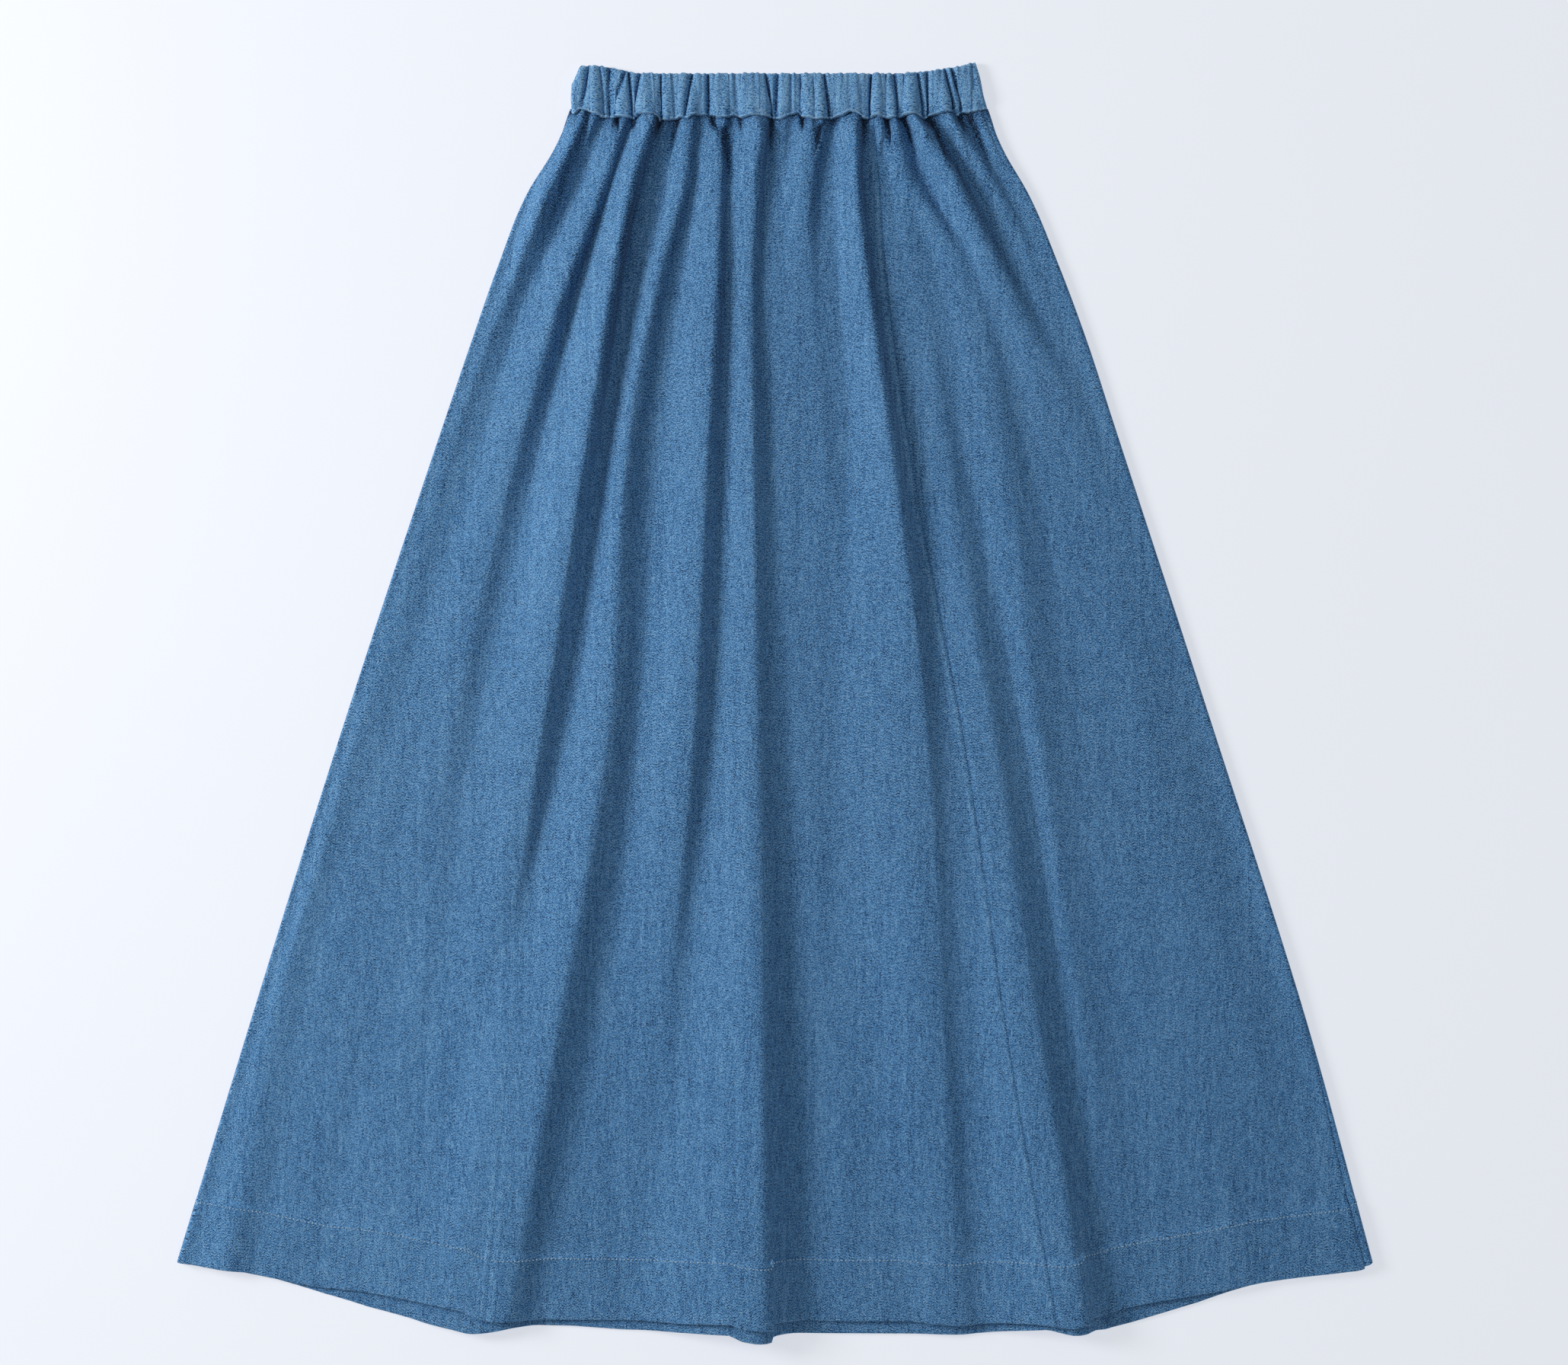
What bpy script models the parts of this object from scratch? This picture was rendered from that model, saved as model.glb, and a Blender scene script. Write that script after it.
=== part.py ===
"""Six-gore denim skirt with an elastic waist casing, laid flat on its back gores.

The skirt is a tube of cloth lying on a table: +Y points to the waist, +Z up, and the origin is
under the middle of the skirt's box. Its sections are worked out in millimetres. The front layer
rises over soft folds that run from the gathered waist to the hem, the back layer lies flat and
arches up only under the tall folds, and the two roll into each other along the side edges.
"""

from collections import namedtuple

import bmesh
import bpy
import numpy as np

MM = 0.001

# Cloth
CLOTH = 1.0             # wall of one layer of denim
HEM_CLOTH = 2.0         # wall of the turned-up hem, two layers
CASING = 2.1            # wall of the waist casing: two layers with the elastic between them
GAP = 0.3               # room between pieces at a seam
LAYER_ROOM = 0.7        # room between the front and the back layer where both lie flat
HEM_DEPTH = 44.0        # hem edge to the hem stitching
HEM_STEP = 5.0          # length over which the wall thickens above the stitching

# Outline of the skirt as it lies
WAIST_Y = 420.0         # casing seam, above the middle of the skirt
SIDE_DEPTHS = (0, 28, 55, 110, 165, 220, 440, 660, 828)
LEFT_EDGE = (-147.4, -160.6, -177.4, -199.9, -219.2, -237.9, -311.0, -380.0, -431.2)
RIGHT_EDGE = (153.7, 166.1, 181.8, 205.4, 225.8, 243.7, 315.4, 385.3, 431.2)
FRONT_HEM_Y = -450.5    # straight middle stretch of the front hem
BACK_HEM_DROP = 7.5     # how far the back hem shows below the front's in the middle
BACK_DROP_START = 230.0  # half widths between which that drop fades out
BACK_DROP_END = 340.0
HEM_CORNER = 210.0      # half width of the straight stretch
HEM_CORNER_X = 5.0
HEM_CORNER_SOFTNESS = 24.0
HEM_SIDE_SLOPE = 0.185  # rise of the hem towards each side edge

# Side edges: the front and back layers roll into each other
EDGE_RADIUS = 2.2
HEM_EDGE_RADIUS = 3.0
EDGE_ROLL_REACH = 15.0  # how far in the roll holds the front layer up
FOLD_FADE_START = 3.0
FOLD_FADE_END = 15.0
SIDE_SEAM_TURN = 1.2    # right side seam, along the cloth from the very edge, high up
HEM_SEAM_TURN = 8.2     # and at the hem, where the back gore comes round to the front
SEAM_TURN_START = 590.0
SEAM_TURN_END = 830.0

# Back layer: arches under the front's folds
FLAT_LIFT = 1.0         # the back stays flat under folds lower than this
NEST_ROOM = 2.6         # greatest room left between the layers inside a tall fold

# Seams between gores, by depth below the casing seam
DEPTHS = (0, 45, 110, 220, 440, 660, 870)
FRONT_LEFT_SEAM = (-78.0, -92.0, -106.3, -120.6, -156.8, -189.0, -204.3)
FRONT_RIGHT_SEAM = (72.9, 75.1, 80.0, 93.8, 133.1, 166.4, 200.2)
BACK_LEFT_SEAM = (-78.0, -92.0, -106.3, -120.6, -157.0, -194.0, -236.0)
BACK_RIGHT_SEAM = (84.0, 100.0, 122.0, 143.0, 188.0, 218.0, 240.6)
COLUMN_STEP = 1.0       # least distance between two lines of points across the cloth
LINE_SAMPLES = 88       # depths at which two lines are held apart
SLOPE_STEP = 0.1        # half the step over which a slope is measured

# Folds, left to right. fall: x of the steepest line of the fold's right flank at each of DEPTHS.
# lift: height of its crest at each of DEPTHS. rise and drop: widths of its left and right flanks
# at each of WIDTH_DEPTHS.
WIDTH_DEPTHS = (0, 220, 440, 870)
Fold = namedtuple("Fold", "name fall lift rise drop")
FOLDS = (
    Fold("left_puff", (-131, -152, -176, -200, -220, -240, -260),
         (8, 8, 1, 0, 0, 0, 0), (14, 16, 16, 16), (27, 20, 20, 20)),
    Fold("left_roll", (-139, -159, -180, -223, -293, -350, -392),
         (0, 2, 7, 6, 5, 4.5, 4), (14, 22, 24, 28), (9, 13, 17, 20)),
    Fold("left_outer", (-104.8, -117, -141, -173, -226, -252, -285),
         (7, 9, 11.5, 8, 3, 0, 0), (18, 32, 40, 40), (8, 12, 14, 18)),
    Fold("left_deep", (-80, -94.6, -110.5, -127.5, -161, -195, -234),
         (8, 10.5, 13.5, 14.5, 12, 4.5, 0), (16, 34, 48, 60), (8, 10, 12, 18)),
    Fold("left_long", (-59, -61, -77, -96, -110, -148, -184),
         (6, 7, 8, 9, 11, 13, 10), (14, 17, 33, 110), (8, 13, 18, 16)),
    Fold("centre_left", (-36, -36.6, -38.2, -43.2, -50, -71, -94),
         (6, 8, 9, 11.5, 13, 3.5, 0), (15, 34, 44, 60), (8, 11, 14, 20)),
    Fold("centre_long", (-2, -8.5, -13, -9.5, -5, -2, 0.5),
         (8, 10, 10, 10, 12.5, 14.5, 16), (22, 24, 34, 105), (8, 12, 15, 12)),
    Fold("centre_short", (38.8, 32.7, 28.5, 38, 62, 80, 95),
         (7, 6, 3, 2, 0, 0, 0), (26, 34, 40, 40), (9, 12, 18, 20)),
    Fold("right_seam", (62, 61.9, 68.5, 86.6, 116, 130, 142),
         (8, 9, 10, 12, 10.5, 9.5, 5), (15, 28, 74, 64), (8, 12, 15, 20)),
    Fold("right_long", (80, 94, 108, 125, 163.6, 197, 229),
         (3, 2.5, 2, 3, 10, 13, 16), (8, 18, 38, 56), (9, 13, 16, 14)),
    Fold("right_middle", (89, 102, 142, 169, 202.7, 232, 262),
         (6, 5, 4.5, 5, 6, 2.5, 0), (11, 28, 15, 20), (9, 14, 14, 20)),
    Fold("right_outer", (106, 132, 171, 223, 292, 342, 375.4),
         (8, 11, 9, 5, 3, 1.5, 0), (12, 34, 56, 60), (11, 15, 20, 22)),
    Fold("right_roll", (131, 157, 190, 229, 300, 360, 405),
         (6, 5, 0, 0, 0, 0, 0), (12, 10, 10, 10), (10, 10, 10, 10)),
)
FOLD_NAMED = {fold.name: fold for fold in FOLDS}

# Where the lines of points lie on a fold, as shares of its flanks: negative on the left flank
EDGE_SHARES = (0.0, 0.4, 0.8)           # and on a side edge, as shares of its quarter turn
WRAP_SHARES = (0.0, 0.33, 0.67, 1.0)    # and from the right edge up to the side seam
STRIP_SHARES = (1.0, 0.6, 0.3, 0.12, 0.0)   # and from that seam inwards
FRONT_SHARES = (-0.75, -0.35, 0.0, 0.3, 0.65, 1.0)
BACK_SHARES = (-0.8, -0.4, 0.0, 0.4, 0.8)
LAST_BACK_SHARE = 0.9
LEFT_FOLDS = ("left_roll", "left_outer", "left_deep")
FRONT_CENTRE_FOLDS = ("left_long", "centre_left", "centre_long", "centre_short", "right_seam")
FRONT_RIGHT_FOLDS = ("right_long", "right_middle", "right_outer", "right_roll")
BACK_CENTRE_FOLDS = FRONT_CENTRE_FOLDS + ("right_long",)
BACK_RIGHT_FOLDS = ("right_middle", "right_outer", "right_roll")

# Rows of points, as shares of the way from the casing seam to the hem stitching
ROWS = (0, 0.016, 0.04, 0.07, 0.105, 0.15, 0.20, 0.255, 0.32, 0.39, 0.46, 0.535, 0.61, 0.69,
        0.77, 0.85, 0.93)

# Waist casing
CASING_TOP_Y = 449.2
CASING_TOP_X = (-150, -126, -98, 95, 117, 133, 146)
CASING_TOP_RISE = (5.5, 5.5, 0, 0, 2.6, 5.2, 8.8)
CASING_LEFT_X = (-147.4, -148.2, -140.6)    # left end at its seam, its middle and its top
CASING_RIGHT_X = (153.7, 149.6, 145.6)
CASING_EDGE_RADIUS = 2.7
SEAM_FOLD_LIFT = 0.75   # share of the skirt's folds that the casing follows at its seam
TOP_FOLD_LIFT = 0.10    # and at its top edge
PUFF = 1.9              # how far the cloth puffs out between two pinches
PINCH_WIDTH = 2.3       # half width of a pinch
CASING_ROWS = (0, 0.12, 0.4, 0.75, 1.0)
CASING_STATIONS = (0, 0.5, 1)   # shares of the casing's height that the end tables are for
CASING_FADE_START = 0.5         # folds and puffs fade out towards the casing's ends
CASING_FADE_END = 6.0
CASING_TURNS = (0.0, 0.5, 1.0)  # lines of points on a rolled end

# Pinches of the gathered casing: x at its seam and at its top, and depth as a share of PUFF
Pinch = namedtuple("Pinch", "seam_x top_x depth")
PINCHES = (
    Pinch(-142.5, -133.0, 0.8), Pinch(-119.5, -118.5, 1.0), Pinch(-111.5, -110.5, 0.6),
    Pinch(-103.5, -104.5, 1.0), Pinch(-96.5, -97.0, 0.9), Pinch(-81.0, -82.0, 1.0),
    Pinch(-65.5, -60.5, 1.0), Pinch(-48.0, -48.0, 0.9), Pinch(-28.0, -30.0, 0.4),
    Pinch(-3.5, -7.5, 1.0), Pinch(2.5, 3.0, 0.8), Pinch(19.5, 19.0, 0.8),
    Pinch(38.2, 35.5, 1.0), Pinch(54.0, 53.0, 0.5), Pinch(68.5, 69.3, 1.0),
    Pinch(80.5, 80.5, 0.8), Pinch(87.0, 87.3, 1.0), Pinch(107.0, 103.0, 1.0),
    Pinch(112.0, 111.5, 0.7), Pinch(127.5, 121.5, 1.0), Pinch(134.5, 127.5, 0.9),
)

# Finish of the cloth: linear colour, roughness and metallic value
DENIM_COLOUR = (0.048, 0.171, 0.376, 1.0)
DENIM_ROUGHNESS = 0.85
DENIM_METALLIC = 0.0


def along(stations, values, where):
    """Smooth curve through a short table: each stretch is the cubic that leaves and reaches its
    ends with the slopes that the neighbouring values give."""
    stations = np.asarray(stations, float)
    values = np.asarray(values, float)
    slopes = np.gradient(values, stations)
    where = np.clip(where, stations[0], stations[-1])
    start = np.clip(np.searchsorted(stations, where, side="right") - 1, 0, len(stations) - 2)
    span = stations[start + 1] - stations[start]
    t = (where - stations[start]) / span
    from_start = (1 + 2 * t) * (1 - t) ** 2 * values[start] + t * (1 - t) ** 2 * span * slopes[start]
    from_end = t * t * (3 - 2 * t) * values[start + 1] + t * t * (t - 1) * span * slopes[start + 1]
    return from_start + from_end


def ease(low, high, where):
    """Rises from 0 at low to 1 at high with level ends."""
    t = np.clip((where - low) / (high - low), 0.0, 1.0)
    return t * t * (3 - 2 * t)


def hem_y(x, back):
    """Hem line: level in the middle, then rising to each side with a rounded corner between.
    The back's hem drops lower in the middle and meets the front's towards the sides."""
    out = np.abs(x - HEM_CORNER_X) - HEM_CORNER
    rise = HEM_SIDE_SLOPE * 0.5 * (out + np.sqrt(out * out + HEM_CORNER_SOFTNESS ** 2))
    drop = BACK_HEM_DROP * (1 - ease(BACK_DROP_START, BACK_DROP_END, np.abs(x)))
    return FRONT_HEM_Y + rise - (drop if back else 0.0)


def fold_lines(fold, depth):
    """Crest line of a fold and the widths of its two flanks at a depth."""
    rise = along(WIDTH_DEPTHS, fold.rise, depth)
    drop = along(WIDTH_DEPTHS, fold.drop, depth)
    crest = along(DEPTHS, fold.fall, depth) - drop / 2
    return crest, rise, drop


def side_distance(x, depth):
    """Distance from the nearer side edge of the skirt."""
    left = x - along(SIDE_DEPTHS, LEFT_EDGE, depth)
    right = along(SIDE_DEPTHS, RIGHT_EDGE, depth) - x
    return np.minimum(left, right)


def fold_lift(x, depth):
    """Height of the folds: the sum of one lopsided cosine ridge for each row of FOLDS, fading to
    nothing at the side edges."""
    total = np.zeros(np.broadcast(x, depth).shape)
    for fold in FOLDS:
        crest, rise, drop = fold_lines(fold, depth)
        lift = np.maximum(along(DEPTHS, fold.lift, depth), 0.0)
        share = np.where(x < crest, (crest - x) / rise, (x - crest) / drop)
        total = total + lift * 0.5 * (1 + np.cos(np.pi * np.clip(share, 0, 1)))
    return total * ease(FOLD_FADE_START, FOLD_FADE_END, side_distance(x, depth))


def nested(lift):
    """Lift of the back layer under a fold: none under a low one, and NEST_ROOM less than the
    front's under a very tall one."""
    over = np.maximum(lift - FLAT_LIFT, 0.0)
    return over * over / (over + NEST_ROOM)


def steepness(height, x, depth):
    """One over the cosine of a surface's slope: how much taller its wall is than it is thick."""
    across = height(x + SLOPE_STEP, depth) - height(x - SLOPE_STEP, depth)
    down = height(x, depth + SLOPE_STEP) - height(x, depth - SLOPE_STEP)
    return np.sqrt(1 + (across ** 2 + down ** 2) / (2 * SLOPE_STEP) ** 2)


def layer_heights(x, depth, wall, radius, back):
    """Outer and inner heights of the front or the back layer, away from the rolled edges."""
    if back:
        outer = nested(fold_lift(x, depth))
        inner = outer + wall * steepness(lambda a, d: nested(fold_lift(a, d)), x, depth)
        return outer, inner
    flat_height = 2 * wall + LAYER_ROOM
    roll = (2 * radius - flat_height) * (1 - ease(0, EDGE_ROLL_REACH, side_distance(x, depth)))
    inner = wall + LAYER_ROOM + fold_lift(x, depth) + roll
    outer = inner + wall * steepness(fold_lift, x, depth)
    return outer, inner


class Layer:
    """One wall of a gore: a grid of points on its outside and another on its inside.

    A line of points down the cloth is given by its turn: the distance along the cloth from the
    nearer side edge, positive on the front layer and negative on the back layer."""

    def __init__(self, side, back_hem):
        self.side = side
        self.edge = LEFT_EDGE if side < 0 else RIGHT_EDGE
        self.back_hem = back_hem
        self.columns = []

    def row_depths(self, hem_x):
        """Depths of the rows of one line of points, from the casing seam to the hem."""
        length = WAIST_Y - hem_y(hem_x, self.back_hem)
        stitching = length - HEM_DEPTH
        body = np.array(ROWS) * (stitching - HEM_STEP)
        hem = np.array((stitching - HEM_STEP, stitching, length - HEM_DEPTH / 2, length))
        return np.concatenate((body, hem)), stitching

    def add(self, line, front=True):
        """Adds a line of points from its x at each depth."""
        depth, stitching = self.row_depths(line(DEPTHS[-1]))
        depth_x = line(depth)
        reach = (along(SIDE_DEPTHS, self.edge, depth) - depth_x) * self.side
        radius = self.radius(depth, stitching)
        turn = reach - radius + radius * np.pi / 2
        self.add_turn(depth, stitching, turn if front else -turn)

    def add_turned(self, turn_at):
        """Adds a line of points near the side edge from its turn at each depth."""
        depth, stitching = self.row_depths(self.edge[-1])
        radius = self.radius(depth, stitching)
        self.add_turn(depth, stitching, turn_at(depth, radius))

    def radius(self, depth, stitching):
        """Radius of the rolled side edge, larger where the hem is turned up."""
        thick = ease(stitching - HEM_STEP, stitching, depth)
        return EDGE_RADIUS + (HEM_EDGE_RADIUS - EDGE_RADIUS) * thick

    def add_turn(self, depth, stitching, turn):
        """Works out the outer and inner points of one line from its turns."""
        wall = CLOTH + (HEM_CLOTH - CLOTH) * ease(stitching - HEM_STEP, stitching, depth)
        radius = self.radius(depth, stitching)
        angle = np.minimum(np.abs(turn) / radius, np.pi / 2)
        run_in = np.maximum(np.abs(turn) - radius * np.pi / 2, 0.0)
        edge = along(SIDE_DEPTHS, self.edge, depth)
        outer_x = edge - self.side * (radius * (1 - np.cos(angle)) + run_in)
        inner_x = edge - self.side * (wall + (radius - wall) * (1 - np.cos(angle)) + run_in)
        on_front = np.where(turn >= 0, 1.0, 0.0)
        heights = []
        for x, pick in ((outer_x, 0), (inner_x, 1)):
            front = layer_heights(x, depth, wall, radius, False)[pick]
            back = layer_heights(x, depth, wall, radius, True)[pick]
            level = on_front * front + (1 - on_front) * back
            heights.append(radius + (level - radius) * np.sin(angle))
        y = WAIST_Y - GAP / 2 - depth
        outer = np.stack((outer_x, y, heights[0]), axis=-1)
        inner = np.stack((inner_x, y, heights[1]), axis=-1)
        self.columns.append((outer, inner))


def table_line(table, shift=0.0):
    """Line down the cloth whose x is a seam's, moved by shift."""
    return lambda depth: along(DEPTHS, table, depth) + shift


def fold_column(fold, share):
    """Line down the cloth at a share of a fold's left (negative) or right flank."""
    def line(depth):
        crest, rise, drop = fold_lines(fold, depth)
        return crest + share * (rise if share < 0 else drop)
    return line


def ordered_lines(lines, first, last):
    """Keeps lines in order between two seams or edges, each at least COLUMN_STEP from the next."""
    depth = np.linspace(DEPTHS[0], DEPTHS[-1], LINE_SAMPLES)
    count = len(lines)
    xs = [line(depth) for line in lines]
    low = first(depth)
    for index in range(count):
        low = np.maximum(xs[index], low + COLUMN_STEP)
        xs[index] = low
    high = last(depth)
    for index in reversed(range(count)):
        high = np.minimum(xs[index], high - COLUMN_STEP)
        xs[index] = high
    return [lambda d, x=x: np.interp(d, depth, x) for x in xs]


def fold_columns(names, shares):
    """Lines of points on the named folds, left to right."""
    lines = []
    for fold in FOLDS:
        if fold.name in names:
            lines.extend(fold_column(fold, share) for share in shares)
    return lines


def edge_line(table, inset):
    """Line that runs an inset inside a side edge."""
    return lambda depth: along(SIDE_DEPTHS, table, depth) + inset


def seam_turn(depth):
    """Turn of the right side seam: at the very edge high up and some way in at the hem."""
    way = ease(SEAM_TURN_START, SEAM_TURN_END, depth)
    return SIDE_SEAM_TURN + (HEM_SEAM_TURN - SIDE_SEAM_TURN) * way


def cloth_object(name, columns, closed_ring=False):
    """Makes one solid wall from its lines of outer and inner points."""
    outer = np.array([column[0] for column in columns]) * MM
    inner = np.array([column[1] for column in columns]) * MM
    across, down = outer.shape[:2]
    build = bmesh.new()
    skins = []
    for grid in (outer, inner):
        skins.append([[build.verts.new(point) for point in column] for column in grid])
    steps = across if closed_ring else across - 1
    for skin in skins:
        for i in range(steps):
            for j in range(down - 1):
                k = (i + 1) % across
                build.faces.new((skin[i][j], skin[k][j], skin[k][j + 1], skin[i][j + 1]))
    for i in range(steps):
        k = (i + 1) % across
        for j in (0, down - 1):
            build.faces.new((skins[0][i][j], skins[0][k][j], skins[1][k][j], skins[1][i][j]))
    if not closed_ring:
        for j in range(down - 1):
            for i in (0, across - 1):
                build.faces.new((skins[0][i][j], skins[0][i][j + 1],
                                 skins[1][i][j + 1], skins[1][i][j]))
    bmesh.ops.triangulate(build, faces=build.faces[:], quad_method="SHORT_EDGE")
    bmesh.ops.recalc_face_normals(build, faces=build.faces[:])
    mesh = bpy.data.meshes.new(name)
    build.to_mesh(mesh)
    build.free()
    mesh.shade_smooth()
    mesh.materials.append(denim_material(name + "_denim"))
    piece = bpy.data.objects.new(name, mesh)
    bpy.context.scene.collection.objects.link(piece)
    return piece


def denim_material(name):
    """Washed mid-blue denim."""
    material = bpy.data.materials.new(name)
    material.use_nodes = True
    shader = material.node_tree.nodes["Principled BSDF"]
    shader.inputs["Base Color"].default_value = DENIM_COLOUR
    shader.inputs["Roughness"].default_value = DENIM_ROUGHNESS
    shader.inputs["Metallic"].default_value = DENIM_METALLIC
    return material


def front_left():
    """Left front gore, from the left side seam at the very edge to the left front seam."""
    layer = Layer(-1, False)
    for share in EDGE_SHARES:
        layer.add_turned(lambda d, r, s=share: np.maximum(s * r * np.pi / 2, GAP / 2))
    seam = table_line(FRONT_LEFT_SEAM, -GAP / 2)
    start = edge_line(LEFT_EDGE, HEM_EDGE_RADIUS)
    for line in ordered_lines(fold_columns(LEFT_FOLDS, FRONT_SHARES), start, seam):
        layer.add(line)
    layer.add(seam)
    return cloth_object("front_left", layer.columns)


def front_centre():
    """Centre front gore between its two seams."""
    layer = Layer(-1, False)
    first = table_line(FRONT_LEFT_SEAM, GAP / 2)
    last = table_line(FRONT_RIGHT_SEAM, -GAP / 2)
    lines = [fold_column(FOLD_NAMED["left_deep"], 1.0)] + fold_columns(FRONT_CENTRE_FOLDS, FRONT_SHARES)
    layer.add(first)
    for line in ordered_lines(lines, first, last):
        layer.add(line)
    layer.add(last)
    return cloth_object("front_centre", layer.columns)


def front_right():
    """Right front gore, from the right front seam to the side seam just inside the right edge."""
    layer = Layer(1, False)
    seam = table_line(FRONT_RIGHT_SEAM, GAP / 2)
    end = edge_line(RIGHT_EDGE, -HEM_SEAM_TURN)
    layer.add(seam)
    for line in ordered_lines(fold_columns(FRONT_RIGHT_FOLDS, FRONT_SHARES), seam, end):
        layer.add(line)
    for share in STRIP_SHARES:
        layer.add_turned(lambda d, r, s=share: strip_turn(d, s))
    return cloth_object("front_right", layer.columns)


def strip_turn(depth, share):
    """Turn of a line of points at a share of the way from the right side seam in to where the
    gore's other lines end."""
    start = seam_turn(depth) + GAP / 2
    flat_turn = HEM_EDGE_RADIUS * (np.pi / 2 - 1) + HEM_SEAM_TURN
    end = np.maximum(flat_turn, start + GAP / 2) - COLUMN_STEP / 2
    return start + (end - start) * share


def back_left():
    """Left back gore, under the left front gore."""
    layer = Layer(-1, True)
    for share in EDGE_SHARES:
        layer.add_turned(lambda d, r, s=share: -np.maximum(s * r * np.pi / 2, GAP / 2))
    seam = table_line(BACK_LEFT_SEAM, -GAP / 2)
    start = edge_line(LEFT_EDGE, HEM_EDGE_RADIUS)
    for line in ordered_lines(fold_columns(LEFT_FOLDS, BACK_SHARES), start, seam):
        layer.add(line, front=False)
    layer.add(seam, front=False)
    return cloth_object("back_left", layer.columns)


def back_centre():
    """Centre back gore."""
    layer = Layer(-1, True)
    first = table_line(BACK_LEFT_SEAM, GAP / 2)
    last = table_line(BACK_RIGHT_SEAM, -GAP / 2)
    lines = [fold_column(FOLD_NAMED["left_deep"], LAST_BACK_SHARE)] + fold_columns(BACK_CENTRE_FOLDS, BACK_SHARES)
    layer.add(first, front=False)
    for line in ordered_lines(lines, first, last):
        layer.add(line, front=False)
    layer.add(last, front=False)
    return cloth_object("back_centre", layer.columns)


def back_right():
    """Right back gore: under the right front gore, round the right edge and up to the side
    seam."""
    layer = Layer(1, True)
    seam = table_line(BACK_RIGHT_SEAM, GAP / 2)
    end = edge_line(RIGHT_EDGE, -HEM_EDGE_RADIUS)
    layer.add(seam, front=False)
    for line in ordered_lines(fold_columns(BACK_RIGHT_FOLDS, BACK_SHARES), seam, end):
        layer.add(line, front=False)
    for share in reversed(EDGE_SHARES[1:]):
        layer.add_turned(lambda d, r, s=share: -s * r * np.pi / 2)
    for share in WRAP_SHARES:
        layer.add_turned(lambda d, r, s=share: s * (seam_turn(d) - GAP / 2))
    return cloth_object("back_right", layer.columns)


def pinch_line(pinch, share):
    """x of a pinch at a share of the casing's height."""
    return pinch.seam_x + (pinch.top_x - pinch.seam_x) * share


def casing_lift(x, share):
    """Lift of the casing's cloth: the skirt's folds, fading upwards, and puffs of cloth between
    the pinches."""
    folds = fold_lift(x, 0.0) * (SEAM_FOLD_LIFT + (TOP_FOLD_LIFT - SEAM_FOLD_LIFT) * share)
    pinched = np.zeros(np.broadcast(x, share).shape)
    for pinch in PINCHES:
        off = (x - pinch_line(pinch, share)) / PINCH_WIDTH
        pinched = np.maximum(pinched, pinch.depth * np.exp(-off * off))
    left = x - along(CASING_STATIONS, CASING_LEFT_X, share)
    right = along(CASING_STATIONS, CASING_RIGHT_X, share) - x
    inside = ease(CASING_FADE_START, CASING_FADE_END, np.minimum(left, right))
    return (folds * inside + PUFF * (1 - pinched)) * inside


def waistband():
    """Elastic casing: one ring of cloth round the waist, lying front on back."""
    share = np.array(CASING_ROWS)
    left = along(CASING_STATIONS, CASING_LEFT_X, share)
    right = along(CASING_STATIONS, CASING_RIGHT_X, share)
    radius = CASING_EDGE_RADIUS
    front_lines = []
    for pinch in PINCHES:
        centre = pinch_line(pinch, share)
        front_lines.extend((centre - PINCH_WIDTH, centre, centre + PINCH_WIDTH))
    back_lines = [pinch_line(pinch, share) for pinch in PINCHES]
    columns = []
    for front, lines in ((True, front_lines), (False, back_lines)):
        low = left + radius
        kept = []
        for line in lines:
            low = np.maximum(line, low + COLUMN_STEP)
            kept.append(low)
        high = right - radius
        for index in reversed(range(len(kept))):
            high = np.minimum(kept[index], high - COLUMN_STEP)
            kept[index] = high
        layer = [casing_column(left, -1, turned, share, front) for turned in CASING_TURNS]
        layer.extend(casing_inner_column(x, share, front) for x in kept)
        layer.extend(casing_column(right, 1, turned, share, front)
                     for turned in reversed(CASING_TURNS))
        columns.extend(layer if front else layer[-2:0:-1])
    return cloth_object("waistband", columns, closed_ring=True)


def casing_heights(x, share, front):
    """Outer and inner heights of the casing's front or back layer."""
    lift = casing_lift(x, share)
    if front:
        return 2 * CASING + GAP + lift, CASING + GAP + lift
    return nested(lift), nested(lift) + CASING


def casing_y(x, share):
    """From the casing seam up to the top edge, which rises towards both ends."""
    top = CASING_TOP_Y + np.interp(x, CASING_TOP_X, CASING_TOP_RISE)
    return WAIST_Y + GAP / 2 + (top - WAIST_Y) * share


def casing_inner_column(x, share, front):
    """Line of points up the casing away from its rolled ends."""
    outer_z, inner_z = casing_heights(x, share, front)
    y = casing_y(x, share)
    return np.stack((x, y, outer_z), axis=-1), np.stack((x, y, inner_z), axis=-1)


def casing_column(edge, side, turned, share, front):
    """Line of points on the casing's rolled end: turned runs from 0 at the very end to 1 where
    the roll meets the flat layer."""
    angle = turned * np.pi / 2
    radius = CASING_EDGE_RADIUS
    half_height = (2 * CASING + GAP) / 2
    points = []
    for rim, start in ((radius, 0.0), (radius - CASING, CASING)):
        x = edge - side * (start + rim * (1 - np.cos(angle)))
        pick = 0 if start == 0.0 else 1
        level = casing_heights(x, share, front)[pick]
        z = half_height + (level - half_height) * np.sin(angle)
        points.append(np.stack((x, casing_y(x, share), z), axis=-1))
    return points[0], points[1]


for old in list(bpy.data.objects):
    bpy.data.objects.remove(old, do_unlink=True)

front_left()
front_centre()
front_right()
back_left()
back_centre()
back_right()
waistband()
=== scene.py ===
"""Gathered denim skirt with an elastic waist casing, laid out flat on a pale floor.

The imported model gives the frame. The script follows the skirt as it is sewn together: the front
gores, the back gores, the waist casing and the stitching. Shapes are worked out in millimetres,
with +Y towards the waist and +Z up, and go into the meshes in metres.
"""

import math
from collections import namedtuple

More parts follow.
